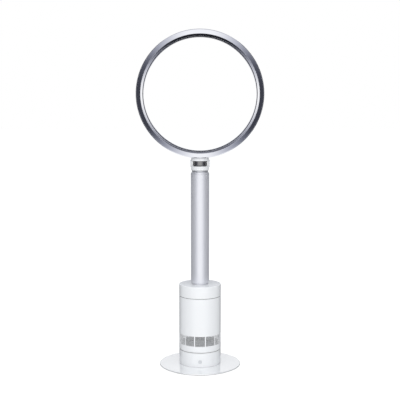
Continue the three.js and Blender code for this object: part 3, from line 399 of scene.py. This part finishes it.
WHITE = (0.93, 0.935, 0.945)
# painted shade: inside this radius and below this height the white pieces are painted black, standing for the
# shadow in holes and seams
shade_lined = (high("body_cap")[0] - SHADE_LINING_IN, high("body_shell")[2] + CAP_GAP + 2 * SEAM_EASE)
finishes = {
    "white_gloss": finish("white_gloss", WHITE, 0.16, coat=0.3, grain=700, mottle=0.012),
    "white_shade_lined": finish("white_shade_lined", WHITE, 0.16, coat=0.3, grain=700, mottle=0.012, shade_lining=shade_lined),
    "plate_white": finish("plate_white", WHITE, 0.06, 0.22, coat=1, coat_ior=2.2, coat_roughness=0.03,
                          grain=300, depth=0.03, mottle=0.012, gloss_drift=0.02),
    "silver_tube": finish("silver_tube", (0.88, 0.885, 0.93), 0.42, 0.52, grain=60, depth=0.1,
                          lay=(40, 40, 0.6), mottle=0.04),
    # painted shade: a darker copy of the pole's satin silver, for the shade in the groove under the collar
    "seal_shaded_satin": finish("seal_shaded_satin", (0.58, 0.59, 0.62), 0.32, 0.6, grain=60, depth=0.1, mottle=0.04),
    "silver_loop": finish("silver_loop", (0.89, 0.9, 0.95), 0.05, 1, grain=60, depth=0.01, mottle=0.02,
                          gloss_drift=0.01),
    "button_grey": finish("button_grey", (0.7, 0.71, 0.73), 0.4, grain=1200),
    "duct_grey": finish("duct_grey", (0.33, 0.34, 0.36), 0.5, grain=600, depth=0.1, mottle=0.08),
    "nylon": finish("nylon", (0.8, 0.79, 0.74), 0.45, grain=500, depth=0.08, mottle=0.06),
    "black_plastic": finish("black_plastic", (0.02, 0.02, 0.022), 0.35, depth=0.1, mottle=0.2),
    "board_green": finish("board_green", (0.05, 0.22, 0.11), 0.4, grain=300, depth=0.1, mottle=0.15),
    "foot_rubber": finish("foot_rubber", (0.06, 0.06, 0.065), 0.75, grain=1500, depth=0.25, mottle=0.2),
    "bellows_rubber": finish("bellows_rubber", (0.014, 0.012, 0.012), 0.35, coat=1, coat_ior=3,
                             coat_roughness=0.25, depth=0.06, mottle=0.2),
    "foam": finish("foam", (0.1, 0.1, 0.11), 0.95, grain=420, depth=0.8, mottle=0.3),
    "steel": finish("steel", (0.55, 0.56, 0.58), 0.32, 1, grain=200, depth=0.1, mottle=0.1),
    "copper": finish("copper", (0.68, 0.35, 0.18), 0.34, 1, grain=90, depth=0.5, lay=(1, 1, 14),
                     mottle=0.15),
}
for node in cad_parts.values():
    node.data.materials[0] = finishes[node.data.materials[0].name]


# ---------------------------------------------------------------- surfaces
def rounded(corners, steps=ARC_STEPS, closed=True):
    """
    A line through corners (radius, height, reach). A corner with a reach is rounded by the curve
    (1-t)^2 start + 2t(1-t) corner + t^2 end, from that far before it to that far after it. On a long side
    one more point, just past the curve, keeps the flat shaded as a flat.
    """
    points = []
    t = np.linspace(0, 1, steps)[:, None]
    for i, (radius, height, *reach) in enumerate(corners):
        corner = np.array([radius, height], float)
        is_end = not closed and i in (0, len(corners) - 1)
        if is_end or not any(reach):
            points.append(corner[None])
            continue
        before = np.array(corners[i - 1][:2]) - corner
        after = np.array(corners[(i + 1) % len(corners)][:2]) - corner
        lengths = np.linalg.norm([before, after], axis=1)
        far = min(reach[0], 0.49 * lengths.min())
        start, end = corner + before * far / lengths[0], corner + after * far / lengths[1]
        past = (far + np.minimum(FLAT_END, FLAT_SHARE * lengths)) / lengths
        if lengths[0] > LONG_SIDE:
            points.append((corner + before * past[0])[None])
        points.append((1 - t) ** 2 * start + 2 * t * (1 - t) * corner + t**2 * end)
        if lengths[1] > LONG_SIDE:
            points.append((corner + after * past[1])[None])
    return np.concatenate(points)


def wall(line, thickness, edge):
    """
    The outline of a wall along a centre line: the line moved half the thickness to each side, and joined at
    its two ends. The edge rounds the ends' corners, and those where the line turns by more than 30 degrees.
    The thickness is one number, or one for each point of the line.
    """
    thickness = np.broadcast_to(thickness, len(line))[:, None]
    along = np.diff(line, axis=0)
    along /= np.linalg.norm(along, axis=1, keepdims=True)
    normal = np.stack([-along[:, 1], along[:, 0]], 1)
    out = np.concatenate([normal, normal[-1:]])
    middle = np.concatenate([normal[:1], normal]) + out
    offset = middle * thickness / 2 / (middle * out).sum(1, keepdims=True)
    turn = np.arccos((along[:-1] * along[1:]).sum(1).clip(-1, 1))
    reach = np.pad(np.where(turn > np.radians(30), edge, 0.0), 1, constant_values=edge)
    outline = np.concatenate([line + offset, (line - offset)[::-1]])
    return rounded(np.column_stack([outline, np.append(reach, reach[::-1])]), 5)


def even(count, start=0.0):
    """Angles that share a full turn evenly."""
    return start + np.arange(count) * 2 * np.pi / count


def surface(name, points, faces):
    """
    A mesh object, in metres, from points in mm and arrays of faces. Its faces are turned over where they
    enclose a negative volume: the sum of a . (b x c) / 6 over their triangles.
    """
    signed = 0.0
    for array in faces:
        a = points[array[:, 0]]
        for k in range(1, array.shape[1] - 1):
            signed += (a * np.cross(points[array[:, k]], points[array[:, k + 1]])).sum()
    if signed < 0:
        faces = [array[:, ::-1] for array in faces]
    used, compact = np.unique(np.concatenate([array.ravel() for array in faces]), return_inverse=True)
    starts = np.cumsum([0] + [array.size for array in faces])
    rows = [compact[start:start + array.size].reshape(array.shape).tolist()
            for start, array in zip(starts, faces)]
    mesh = bpy.data.meshes.new(name)
    mesh.from_pydata((points[used] * MM).tolist(), [], sum(rows, []))
    made = bpy.data.objects.new(name, mesh)
    scene.collection.objects.link(made)
    mesh.shade_smooth()
    mesh.set_sharp_from_angle(angle=np.radians(CRISP))
    return made


ACROSS = {"z": (0, 1, 2), "y": (0, 2, 1), "x": (2, 0, 1)}  # which of (cos, sin, height) is x, y and z


def turned(name, profile, angles, axis="z", centre=(0, 0, 0), holes=()):
    """
    A profile of (radius, height) turned about an axis: (radius cos a, radius sin a, height). A profile that
    starts and ends on the axis is closed there, and any other is closed on itself.

    holes are (first angles, first columns outside, last columns inside, cells, radius, power): holes through
    the wall, each in the middle of a block of so many cells each way. See pierced.
    """
    if np.isscalar(angles):
        angles = even(angles)
    radius, height = profile.T
    rows, columns = len(angles), len(profile)
    grid = np.stack([np.outer(np.cos(angles), radius), np.outer(np.sin(angles), radius),
                     np.broadcast_to(height, (rows, columns))], -1)
    index = np.arange(rows * columns).reshape(rows, columns)
    on_axis = radius < 1e-9
    index[:, on_axis] = index[:1, on_axis]
    j = np.arange(columns - int(on_axis[0] and on_axis[-1]))
    k = (j + 1) % columns
    after = np.roll(index, -1, axis=0)
    cells = np.stack([index[:, j], after[:, j], after[:, k], index[:, k]], -1)
    keep = np.ones(cells.shape[:2], bool)
    points, faces = [grid.reshape(-1, 3)], []
    for hole in holes:
        pierced(grid, index, angles, keep, points, faces, *hole)
    cells = cells[keep]
    start_closed, end_closed = cells[:, 0] == cells[:, 1], cells[:, 2] == cells[:, 3]
    faces.append(cells[~(start_closed | end_closed)])
    faces += [cells[start_closed & ~end_closed][:, 1:], cells[end_closed & ~start_closed][:, :3]]
    points = np.concatenate(points)[:, ACROSS[axis]] + np.array(centre)
    return surface(name, points, [array for array in faces if len(array)])


def pierced(grid, index, angles, keep, points, faces, first, outside, inside, cells, radius, power):
    """
    Cuts holes |u|^power + |v|^power = radius^power through a turned wall: round for 2, and a softened square
    for 4. In each block the cells go, and each point of the block's edge moves along its own ray from the
    middle to the hole's rim. The same is done on the inner face, and a jamb joins the two rims.
    """
    rows = len(angles)
    run, zero = np.arange(cells), np.zeros(cells, int)
    around = np.concatenate([run, zero + cells, cells - run, zero])
    up = np.concatenate([zero, run, zero + cells, cells - run])
    blocks, rings = [], []
    for column, step in ((outside, 1), (inside, -1)):
        row = (first[:, None] + around) % rows
        block = index[row, column[:, None] + step * up]
        corner = grid.reshape(-1, 3)[block]
        wall_r = np.hypot(corner[..., 0], corner[..., 1]).mean()
        turn = (angles[row] - angles[first][:, None] + np.pi) % (2 * np.pi) - np.pi
        flat = np.stack([turn * wall_r, corner[..., 2]], -1)
        middle = (flat.min(1, keepdims=True) + flat.max(1, keepdims=True)) / 2
        ray = (flat - middle) / np.abs(flat - middle).max(1, keepdims=True)
        rim = middle + radius * ray / (np.abs(ray) ** power).sum(-1, keepdims=True) ** (1 / power)
        angle = angles[first][:, None] + rim[..., 0] / wall_r
        ring = np.stack([wall_r * np.cos(angle), wall_r * np.sin(angle), rim[..., 1]], -1)
        start = sum(len(array) for array in points)
        points.append(ring.reshape(-1, 3))
        blocks.append(block)
        rings.append(start + np.arange(block.size).reshape(block.shape))
        lowest = column if step > 0 else column - cells
        keep[(first[:, None, None] + run[:, None]) % rows, lowest[:, None, None] + run] = False
    for a, b in ((blocks[0], rings[0]), (rings[0], rings[1]), (rings[1], blocks[1])):
        faces.append(np.stack([a, np.roll(a, -1, 1), np.roll(b, -1, 1), b], -1).reshape(-1, 4))


def combined(base, *steps):
    """Adds pieces to a piece or cuts them from it, in order, with exact Boolean modifiers, applied."""
    for operation, other in steps:
        boolean = base.modifiers.new(operation, "BOOLEAN")
        boolean.operation = operation
        boolean.solver = "EXACT"
        boolean.object = other
    bpy.context.view_layer.update()
    finished = bpy.data.meshes.new_from_object(base.evaluated_get(bpy.context.evaluated_depsgraph_get()))
    base.modifiers.clear()
    base.data = finished
    for _, other in steps:
        bpy.data.objects.remove(other)
    finished.shade_smooth()
    finished.set_sharp_from_angle(angle=np.radians(CUT_CRISP))
    return base


def dress(made, slot, nodes, body=None, look=None):
    """The piece takes a finish, stands for these nodes of the frame, and rides on a body."""
    made.data.materials.clear()
    made.data.materials.append(finishes[look or slot])
    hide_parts(*nodes)
    if body:
        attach(made, body)


# ---------------------------------------------------------------- base
def foot_ring():
    outer, foot, top = high("foot_ring")[0], low("foot_ring")[2], high("foot_ring")[2]
    inner = outer - FOOT_W
    profile = rounded([(inner, foot, 0.6), (outer, foot, 0.6), (outer, top, 0.3), (inner, top, 0.3)], 4)
    dress(turned("foot_ring_soft", profile, PLATE_STEPS), "foot_rubber", ["foot_ring"], "base")


def base_plate():
    """A shallow dish upside down: the top falls gently to a rounded rim, and the weight sits in a hollow."""
    rim, under, top = high("base_plate")[0], low("base_plate")[2], high("base_plate")[2]
    body = high("lower_housing")[0]
    hollow, roof = high("ballast_disc")[0] + BALLAST_ROOM, high("ballast_disc")[2] + FIT
    profile = rounded([
        (0, top), (body, top, PLATE_FILLET), (rim, top - PLATE_DROP, 2.4), (rim, under + RIM_STEP, 0.4),
        (rim - RIM_UNDERCUT, under, 0.5), (hollow, under, 0.5), (hollow, roof, 1), (0, roof),
    ], closed=False)
    dress(turned("base_plate_enamel", profile, PLATE_STEPS), "plate_white", ["base_plate"], "base")


def lower_housing():
    """A round wall with a deck inside, a hole in front for the button and one behind for the gland."""
    outer, foot, top = high("lower_housing")[0], low("lower_housing")[2], high("lower_housing")[2]
    inner = outer - BODY_WALL
    deck = top - DECK_DROP
    top -= SEAM_EASE
    button_z = (low("power_button")[2] + high("power_button")[2]) / 2
    gland_z = (low("cord_gland")[2] + high("cord_gland")[2]) / 2
    lift, cells = 3, 12  # the two blocks are this many cells apart, and this many high
    cell = (button_z - gland_z) / lift
    levels = gland_z + cell * (np.arange(cells + lift + 1) - cells / 2)
    profile = np.concatenate([
        rounded([(inner, foot), (outer, foot, 0.3), (outer, levels[0])], 3, closed=False)[1:-1],
        np.stack([np.full_like(levels, outer), levels], 1),
        rounded([(outer, levels[-1]), (outer, top, 1), (inner, top, 0.4), (inner, deck)], closed=False)[1:],
        [(CABLE_BORE, deck), (CABLE_BORE, deck - DECK_H), (inner, deck - DECK_H)],
        np.stack([np.full_like(levels, inner), levels[::-1]], 1),
        [(inner, foot)],
    ])
    outside, inside = np.flatnonzero(profile[:, 1] == levels[0])[[0, -1]]
    front = 3 * HOUSING_STEPS // 4 - cells // 2
    back = HOUSING_STEPS // 4 - cells // 2
    holes = [
        (np.array([front]), np.array([outside + lift]), np.array([inside - lift]), cells, BUTTON_R + FIT, 2),
        (np.array([back]), np.array([outside]), np.array([inside]), cells, GLAND_R + FIT, 2),
    ]
    made = turned("lower_housing_gloss", profile, HOUSING_STEPS, holes=holes)
    # painted shade: its inner faces are painted black
    dress(made, "white_gloss", ["lower_housing"], "base", "white_shade_lined")


def power_button():
    """A round button whose face is a shallow dish: depth times 1 - (r / radius)^2."""
    corner, far = low("power_button"), high("power_button")
    flange, flange_y = far[0], BODY_WALL + BUTTON_PLAY - high("lower_housing")[0]
    flange_back = flange_y + BUTTON_FLANGE_T
    radius = np.linspace(0, BUTTON_DISH_R, FACE_STEPS)
    dish = np.stack([radius, corner[1] + BUTTON_DISH * (1 - (radius / BUTTON_R) ** 2)], 1)
    body = rounded([
        dish[-1], (BUTTON_R, corner[1], 0.8), (BUTTON_R, flange_y), (flange, flange_y),
        (flange, flange_back), (BUTTON_STEM_R, flange_back), (BUTTON_STEM_R, far[1]), (0, far[1]),
    ], closed=False)[1:]
    centre = (0, 0, (corner[2] + far[2]) / 2)
    made = turned("power_button_face", np.concatenate([dish, body]), SMALL_STEPS, "y", centre)
    dress(made, "button_grey", ["power_button"], "button")


def cord_gland():
    """A flanged sleeve through the housing's back wall, with the bore that the lead leaves by."""
    corner, far = low("cord_gland"), high("cord_gland")
    outside = high("lower_housing")[0] + FIT
    inner_wall = outside - BODY_WALL - 3 * FIT
    flange = (far[2] - corner[2]) / 2
    profile = rounded([
        (GLAND_BORE_R, corner[1], 0.4), (flange, corner[1], 0.4), (flange, inner_wall, 0.3),
        (GLAND_R, inner_wall), (GLAND_R, outside), (flange, outside, 0.5),
        (flange - GLAND_TAPER, far[1], 1), (GLAND_BORE_R, far[1], 0.6),
    ], 5)
    centre = (0, 0, (corner[2] + far[2]) / 2)
    dress(turned("cord_gland_ring", profile, SMALL_STEPS, "y", centre), "foot_rubber", ["cord_gland"], "base")


foot_ring()
base_plate()
lower_housing()
power_button()
cord_gland()


# ---------------------------------------------------------------- motor body
def body_shell():
    """
    A tall tube with a band of pierced panels, its inner faces painted black as painted shade. Each panel is a
    square grid of holes, and a plain rib stands between it and the next. The wall is thinner behind the band.
    """
    outer, foot, top = high("body_cap")[0], low("body_shell")[2], high("body_shell")[2]
    inner, thin = outer - BODY_WALL, outer - INTAKE_T
    half = np.pi / PANELS - PANEL_RIB / (2 * outer)
    steps = 2 * PANEL_HOLES
    panel = np.append(np.linspace(-half, half, steps + 1), np.pi / PANELS)
    angles = (even(PANELS, -np.pi / 2)[:, None] + panel).ravel()
    levels = foot + INTAKE_LOW + np.linspace(0, INTAKE_H, steps + 1)
    foot, top, rim = foot + SEAM_EASE, top - SEAM_EASE, outer - SHELL_RIM_T
    seat = top - SHELL_RIM_H
    profile = np.concatenate([
        rounded([(inner, foot), (outer, foot, 0.6), (outer, levels[0])], 4, closed=False)[1:-1],
        np.stack([np.full_like(levels, outer), levels], 1),
        rounded([(outer, levels[-1]), (outer, top, 0.5), (rim, top)], 4, closed=False)[1:],
        [(rim, seat), (inner, seat), (inner, levels[-1] + INTAKE_STEP), (thin, levels[-1] + INTAKE_MARGIN)],
        np.stack([np.full_like(levels, thin), levels[::-1]], 1),
        [(thin, levels[0] - INTAKE_MARGIN), (inner, levels[0] - INTAKE_STEP), (inner, foot)],
    ])
    outside, inside = np.flatnonzero(profile[:, 1] == levels[0])[[0, -1]]
    panels, across, up = (axis.ravel() for axis in np.meshgrid(
        np.arange(PANELS), np.arange(PANEL_HOLES), np.arange(PANEL_HOLES), indexing="ij"))
    holes = [(panels * (steps + 2) + 2 * across, outside + 2 * up, inside - 2 * up, 2, HOLE_HALF, 4)]
    made = turned("body_shell_gloss", profile, angles, holes=holes)
    # painted shade: its inner faces are painted black
    dress(made, "white_gloss", ["body_shell"], "motor_body", "white_shade_lined")


def body_cap():
    """The shell's cap: a rounded shoulder, a flat top and a socket for the pole."""
    outer, lip_z, top = high("body_cap")[0], low("body_cap")[2], high("body_cap")[2]
    foot = high("body_shell")[2] + CAP_GAP + SEAM_EASE
    lip = outer - BODY_WALL - FIT
    bore = high("inner_tube")[0] + FIT
    socket = bore + SOCKET_WALL
    roof = top - CAP_TOP_T
    profile = rounded([
        (outer, foot, 0.5), (outer, top, CAP_EDGE_R), (bore, top, 0.5), (bore, roof - SOCKET_H),
        (socket, roof - SOCKET_H), (socket, roof, 2), (lip - CAP_LIP_T, roof, 2), (lip - CAP_LIP_T, lip_z),
        (lip, lip_z, 0.8), (lip, foot),
    ])
    made = turned("body_cap_gloss", profile, BODY_STEPS)
    # painted shade: its inner faces are painted black
    dress(made, "white_gloss", ["body_cap"], "motor_body", "white_shade_lined")


body_shell()
body_cap()


# ---------------------------------------------------------------- pole
def tube(name, node, slot, body, edge):
    """A plain tube with rounded ends."""
    outer, foot, top = high(node)[0], low(node)[2], high(node)[2]
    inner = outer - TUBE_WALL
    corners = [(outer, foot, edge), (outer, top, 0.3), (inner, top, 0.3), (inner, foot, 0.4)]
    dress(turned(name, rounded(corners, 5), TUBE_STEPS), slot, [node], body)


def sleeve_cap():
    """A satin ring on the sleeve: a short straight side, a chamfer and a spigot into the sleeve."""
    outer, foot, top = high("sleeve_cap")[0], low("sleeve_cap")[2], high("sleeve_cap")[2]
    side = high("pole_sleeve")[2] + FIT
    spigot = outer - TUBE_WALL - RUN
    bore = NECK_SPIGOT_R + FIT
    profile = rounded([
        (spigot, foot), (spigot, side), (outer, side, 0.4), (outer, side + SLEEVE_CAP_SIDE, 1.2),
        (outer - SLEEVE_CAP_CHAMFER, top, 0.8), (bore, top, 0.4), (bore, foot),
    ])
    dress(turned("sleeve_cap_satin", profile, TUBE_STEPS), "silver_tube", ["sleeve_cap"], "mast")


tube("inner_tube_satin", "inner_tube", "silver_tube", "motor_body", 0.4)
tube("pole_sleeve_satin", "pole_sleeve", "silver_tube", "mast", 0.7)
sleeve_cap()


# ---------------------------------------------------------------- neck
pivot_z = (low("pivot_pin_left")[2] + high("pivot_pin_left")[2]) / 2
window_z = pivot_z - WINDOW_H / 2
window_top = pivot_z + WINDOW_H / 2
loop_r = high("loop_rear_shell")[0]
loop_z = high("loop_rear_shell")[2] - loop_r
lower_ear = BELLOWS_CREST_R + EAR_CLEAR
lower_ear_end = lower_ear + LOWER_EAR_T
upper_ear_end = high("upper_yoke")[0]
upper_ear = upper_ear_end - UPPER_EAR_T
cap_seat = upper_ear_end - PIVOT_CAP_T
pin_seat = cap_seat - FIT - PIVOT_HEAD_T


def disc(name, radius, side, start, end, edge=0.0):
    """A round ear, recess or bore on the pivot's axis, on one side of the neck, with rounded rims."""
    corners = [(0, start), (radius, start, edge), (radius, end, edge), (0, end)]
    profile = rounded([corner if edge else corner[:2] for corner in corners], 5, closed=False) * (1, side)
    return turned(name, profile, SMALL_STEPS, "x", (0, 0, pivot_z))


def neck_seal():
    outer, foot, top = high("neck_seal")[0], low("neck_seal")[2], high("neck_seal")[2]
    inner = NECK_SPIGOT_R + FIT
    profile = rounded([(outer, foot, 0.6), (outer, top, 0.6), (inner, top, 0.4), (inner, foot, 0.4)], 5)
    # painted shade: the seal takes the darker copy of the pole's satin silver
    dress(turned("neck_seal_satin", profile, TUBE_STEPS), "silver_tube", ["neck_seal"], "mast",
          "seal_shaded_satin")


def lower_yoke():
    """A collar with a spigot below, a seat for the bellows' cuff, and a round ear at each side."""
    foot, spigot_z = high("neck_seal")[2] + FIT, low("lower_yoke")[2]
    spigot_bore = NECK_SPIGOT_R - NECK_SPIGOT_WALL
    cuff, cuff_z = CUFF_R + FIT, window_z - CUFF_L - FIT
    past = NECK_R + EXTRA
    profile = rounded([
        (spigot_bore, spigot_z, 0.5), (NECK_SPIGOT_R, spigot_z, 0.5), (NECK_SPIGOT_R, foot),
        (NECK_R, foot, 1.2), (NECK_R, window_z, 1.2), (cuff, window_z, 0.5), (cuff, cuff_z),
        (spigot_bore, cuff_z, 0.5),
    ], 5)
    steps = []
    for side in (-1, 1):
        steps.append(("DIFFERENCE", disc("notch", EAR_R + RUN, side, lower_ear_end + FIT, past)))
        steps.append(("UNION", disc("ear", EAR_R, side, lower_ear, lower_ear_end, 0.5)))
        steps.append(("DIFFERENCE", disc("bore", PIVOT_R + FIT, side, lower_ear - SHORT_EXTRA, past)))
    made = combined(turned("lower_yoke_gloss", profile, TUBE_STEPS), *steps)
    dress(made, "white_gloss", ["lower_yoke"], "mast")


def upper_yoke():
    """
    A collar whose top follows the loop, with a groove below it, and with a round ear at each side that holds
    the pivot's cap.
    """
    blank_top = loop_z - loop_r + NECK_BLANK
    groove = loop_z - loop_r - NECK_GROOVE_DROP
    cuff = CUFF_R + FIT
    profile = rounded([
        (NECK_R, window_top, 1.2), (NECK_R, groove, 0.3), (NECK_R - NECK_GROOVE, groove),
        (NECK_R - NECK_GROOVE, groove + NECK_GROOVE), (NECK_R, groove + NECK_GROOVE, 0.3),
        (NECK_R, blank_top), (cuff, blank_top), (cuff, window_top, 0.5),
    ], 5)
    past, bed_r = NECK_R + EXTRA, loop_r - NECK_BEDDED
    room = np.array([(0, -past), (bed_r, -past), (bed_r, past), (0, past)])
    steps = [("DIFFERENCE", turned("loop_room", room, LOOP_STEPS, "y", (0, 0, loop_z)))]
    for side in (-1, 1):
        steps.append(("DIFFERENCE", disc("notch", EAR_R + RUN, side, lower_ear - EXTRA, upper_ear - FIT)))
        steps.append(("UNION", disc("ear", EAR_R, side, upper_ear, upper_ear_end, 0.6)))
        steps.append(("DIFFERENCE", disc("seat", PIVOT_CAP_R + FIT, side, cap_seat,
                                         upper_ear_end + SEAT_EXTRA)))
        steps.append(("DIFFERENCE", disc("head", PIVOT_HEAD_R + RUN, side, pin_seat - FIT, upper_ear_end)))
        steps.append(("DIFFERENCE", disc("bore", PIVOT_R + RUN, side, upper_ear - SHORT_EXTRA,
                                         upper_ear_end)))
    made = combined(turned("upper_yoke_gloss", profile, TUBE_STEPS), *steps)
    dress(made, "white_gloss", ["upper_yoke"], "head")


def pivot_cap(hand, side):
    """A crowned disc that closes the ear: its face falls from the middle by crown times (r / radius)^2."""
    face, back = high("pivot_cap_right")[0], low("pivot_cap_right")[0]
    radius = np.linspace(0, PIVOT_CAP_FACE_R, FACE_STEPS)
    crown = np.stack([radius, face - PIVOT_CAP_CROWN * (radius / PIVOT_CAP_R) ** 2], 1)
    rim = rounded([crown[-1], (PIVOT_CAP_R, upper_ear_end, 0.4), (PIVOT_CAP_R, back), (0, back)],
                  5, closed=False)[1:]
    profile = np.concatenate([crown, rim]) * (1, side)
    made = turned(f"pivot_cap_{hand}_disc", profile, SMALL_STEPS, "x", (0, 0, pivot_z))
    dress(made, "white_gloss", [f"pivot_cap_{hand}"], "head")


def tilt_bellows():
    """
    A ribbed rubber duct between the two collars. Across the window its radius is the mean of crest and
    root, less half their difference times the cosine of the angle that runs through the folds.
    """
    foot, top = low("tilt_bellows")[2], high("tilt_bellows")[2]
    bore = CUFF_R - 2 * BELLOWS_WALL
    share = np.linspace(0, 1, FOLD_STEPS * BELLOWS_FOLDS + 1)
    height = window_z + BELLOWS_PLAIN + share * (WINDOW_H - 2 * BELLOWS_PLAIN)
    mean, swing = (BELLOWS_CREST_R + BELLOWS_ROOT_R) / 2, (BELLOWS_CREST_R - BELLOWS_ROOT_R) / 2
    folds = np.stack([mean - swing * np.cos(2 * np.pi * BELLOWS_FOLDS * share), height], 1)
    inner_levels = np.linspace(top, foot, FOLD_STEPS)
    profile = np.concatenate([
        [(CUFF_R, foot), (CUFF_R, window_z)], folds, [(CUFF_R, window_top), (CUFF_R, top)],
        np.stack([np.full_like(inner_levels, bore), inner_levels], 1),
    ])
    made = turned("tilt_bellows_rubber", profile, TUBE_STEPS)
    dress(made, "bellows_rubber", ["tilt_bellows"])
    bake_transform(made)


neck_seal()
lower_yoke()
upper_yoke()
pivot_cap("left", -1)
pivot_cap("right", 1)
tilt_bellows()


# ---------------------------------------------------------------- air loop
half = LOOP_WALL / 2
loop_back = high("loop_rear_shell")[1]
front_y = -LOOP_FRONT
shoulder_y = front_y + SHOULDER_DEPTH
trim_inner_y = front_y + TRIM_DEPTH
shoulder_r = loop_r - SHOULDER_INSET
lip_r = loop_r - LOOP_DEPTH
lip_front_y = loop_back - LIP_L
slot_face_r = lip_r + LOOP_WALL + SLOT
trim_inner_r = slot_face_r + INNER_FLARE


def loop_wall(name, node, line, last=LOOP_WALL):
    """A wall of the loop, turned about the loop's own axis. It thins to the last thickness at its end."""
    thickness = np.full(len(line), float(LOOP_WALL))
    thickness[-1] = last
    made = turned(name, wall(line, thickness, WALL_EDGE), LOOP_STEPS, "y", (0, 0, loop_z))
    dress(made, "silver_loop", [node], "head")


# The outer wall, the rounded back and the lip that turns forward inside.
loop_wall("loop_rear_polished", "loop_rear_shell", rounded([
    (shoulder_r - half, shoulder_y + FIT), (loop_r - half, -LOOP_WIDEST, 20),
    (loop_r - LOOP_BACK_TAPER - half, loop_back - half, LOOP_BACK_ROUND),
    (lip_r + half, loop_back - half, LIP_ROUND), (lip_r + LIP_FLARE + LIP_EDGE_T / 2, lip_front_y),
], 24, closed=False), LIP_EDGE_T)

# The wall that the jet follows forward from the slot, flared behind the lip.
face = slot_face_r + half
loop_wall("loop_inner_polished", "loop_inner_shell", rounded([
    (face + SLOT_FLARE, lip_front_y + SLOT_LAP + SLOT_FLARE), (face, lip_front_y + SLOT_LAP, 3),
    (face, lip_front_y - SLOT_LIP_AHEAD, 6),
    (face + INNER_FLARE_SHARE * INNER_FLARE, -INNER_FLARE_START, 12),
    (trim_inner_r + half, trim_inner_y + half + FIT),
], 12, closed=False))

# The flared band round the front, from the inner wall out to the front edge and back to the shoulder.
loop_wall("loop_trim_polished", "loop_front_trim", np.array([
    (trim_inner_r + half, trim_inner_y), (loop_r - TRIM_EDGE_INSET, front_y + half),
    (shoulder_r - half, shoulder_y),
]))
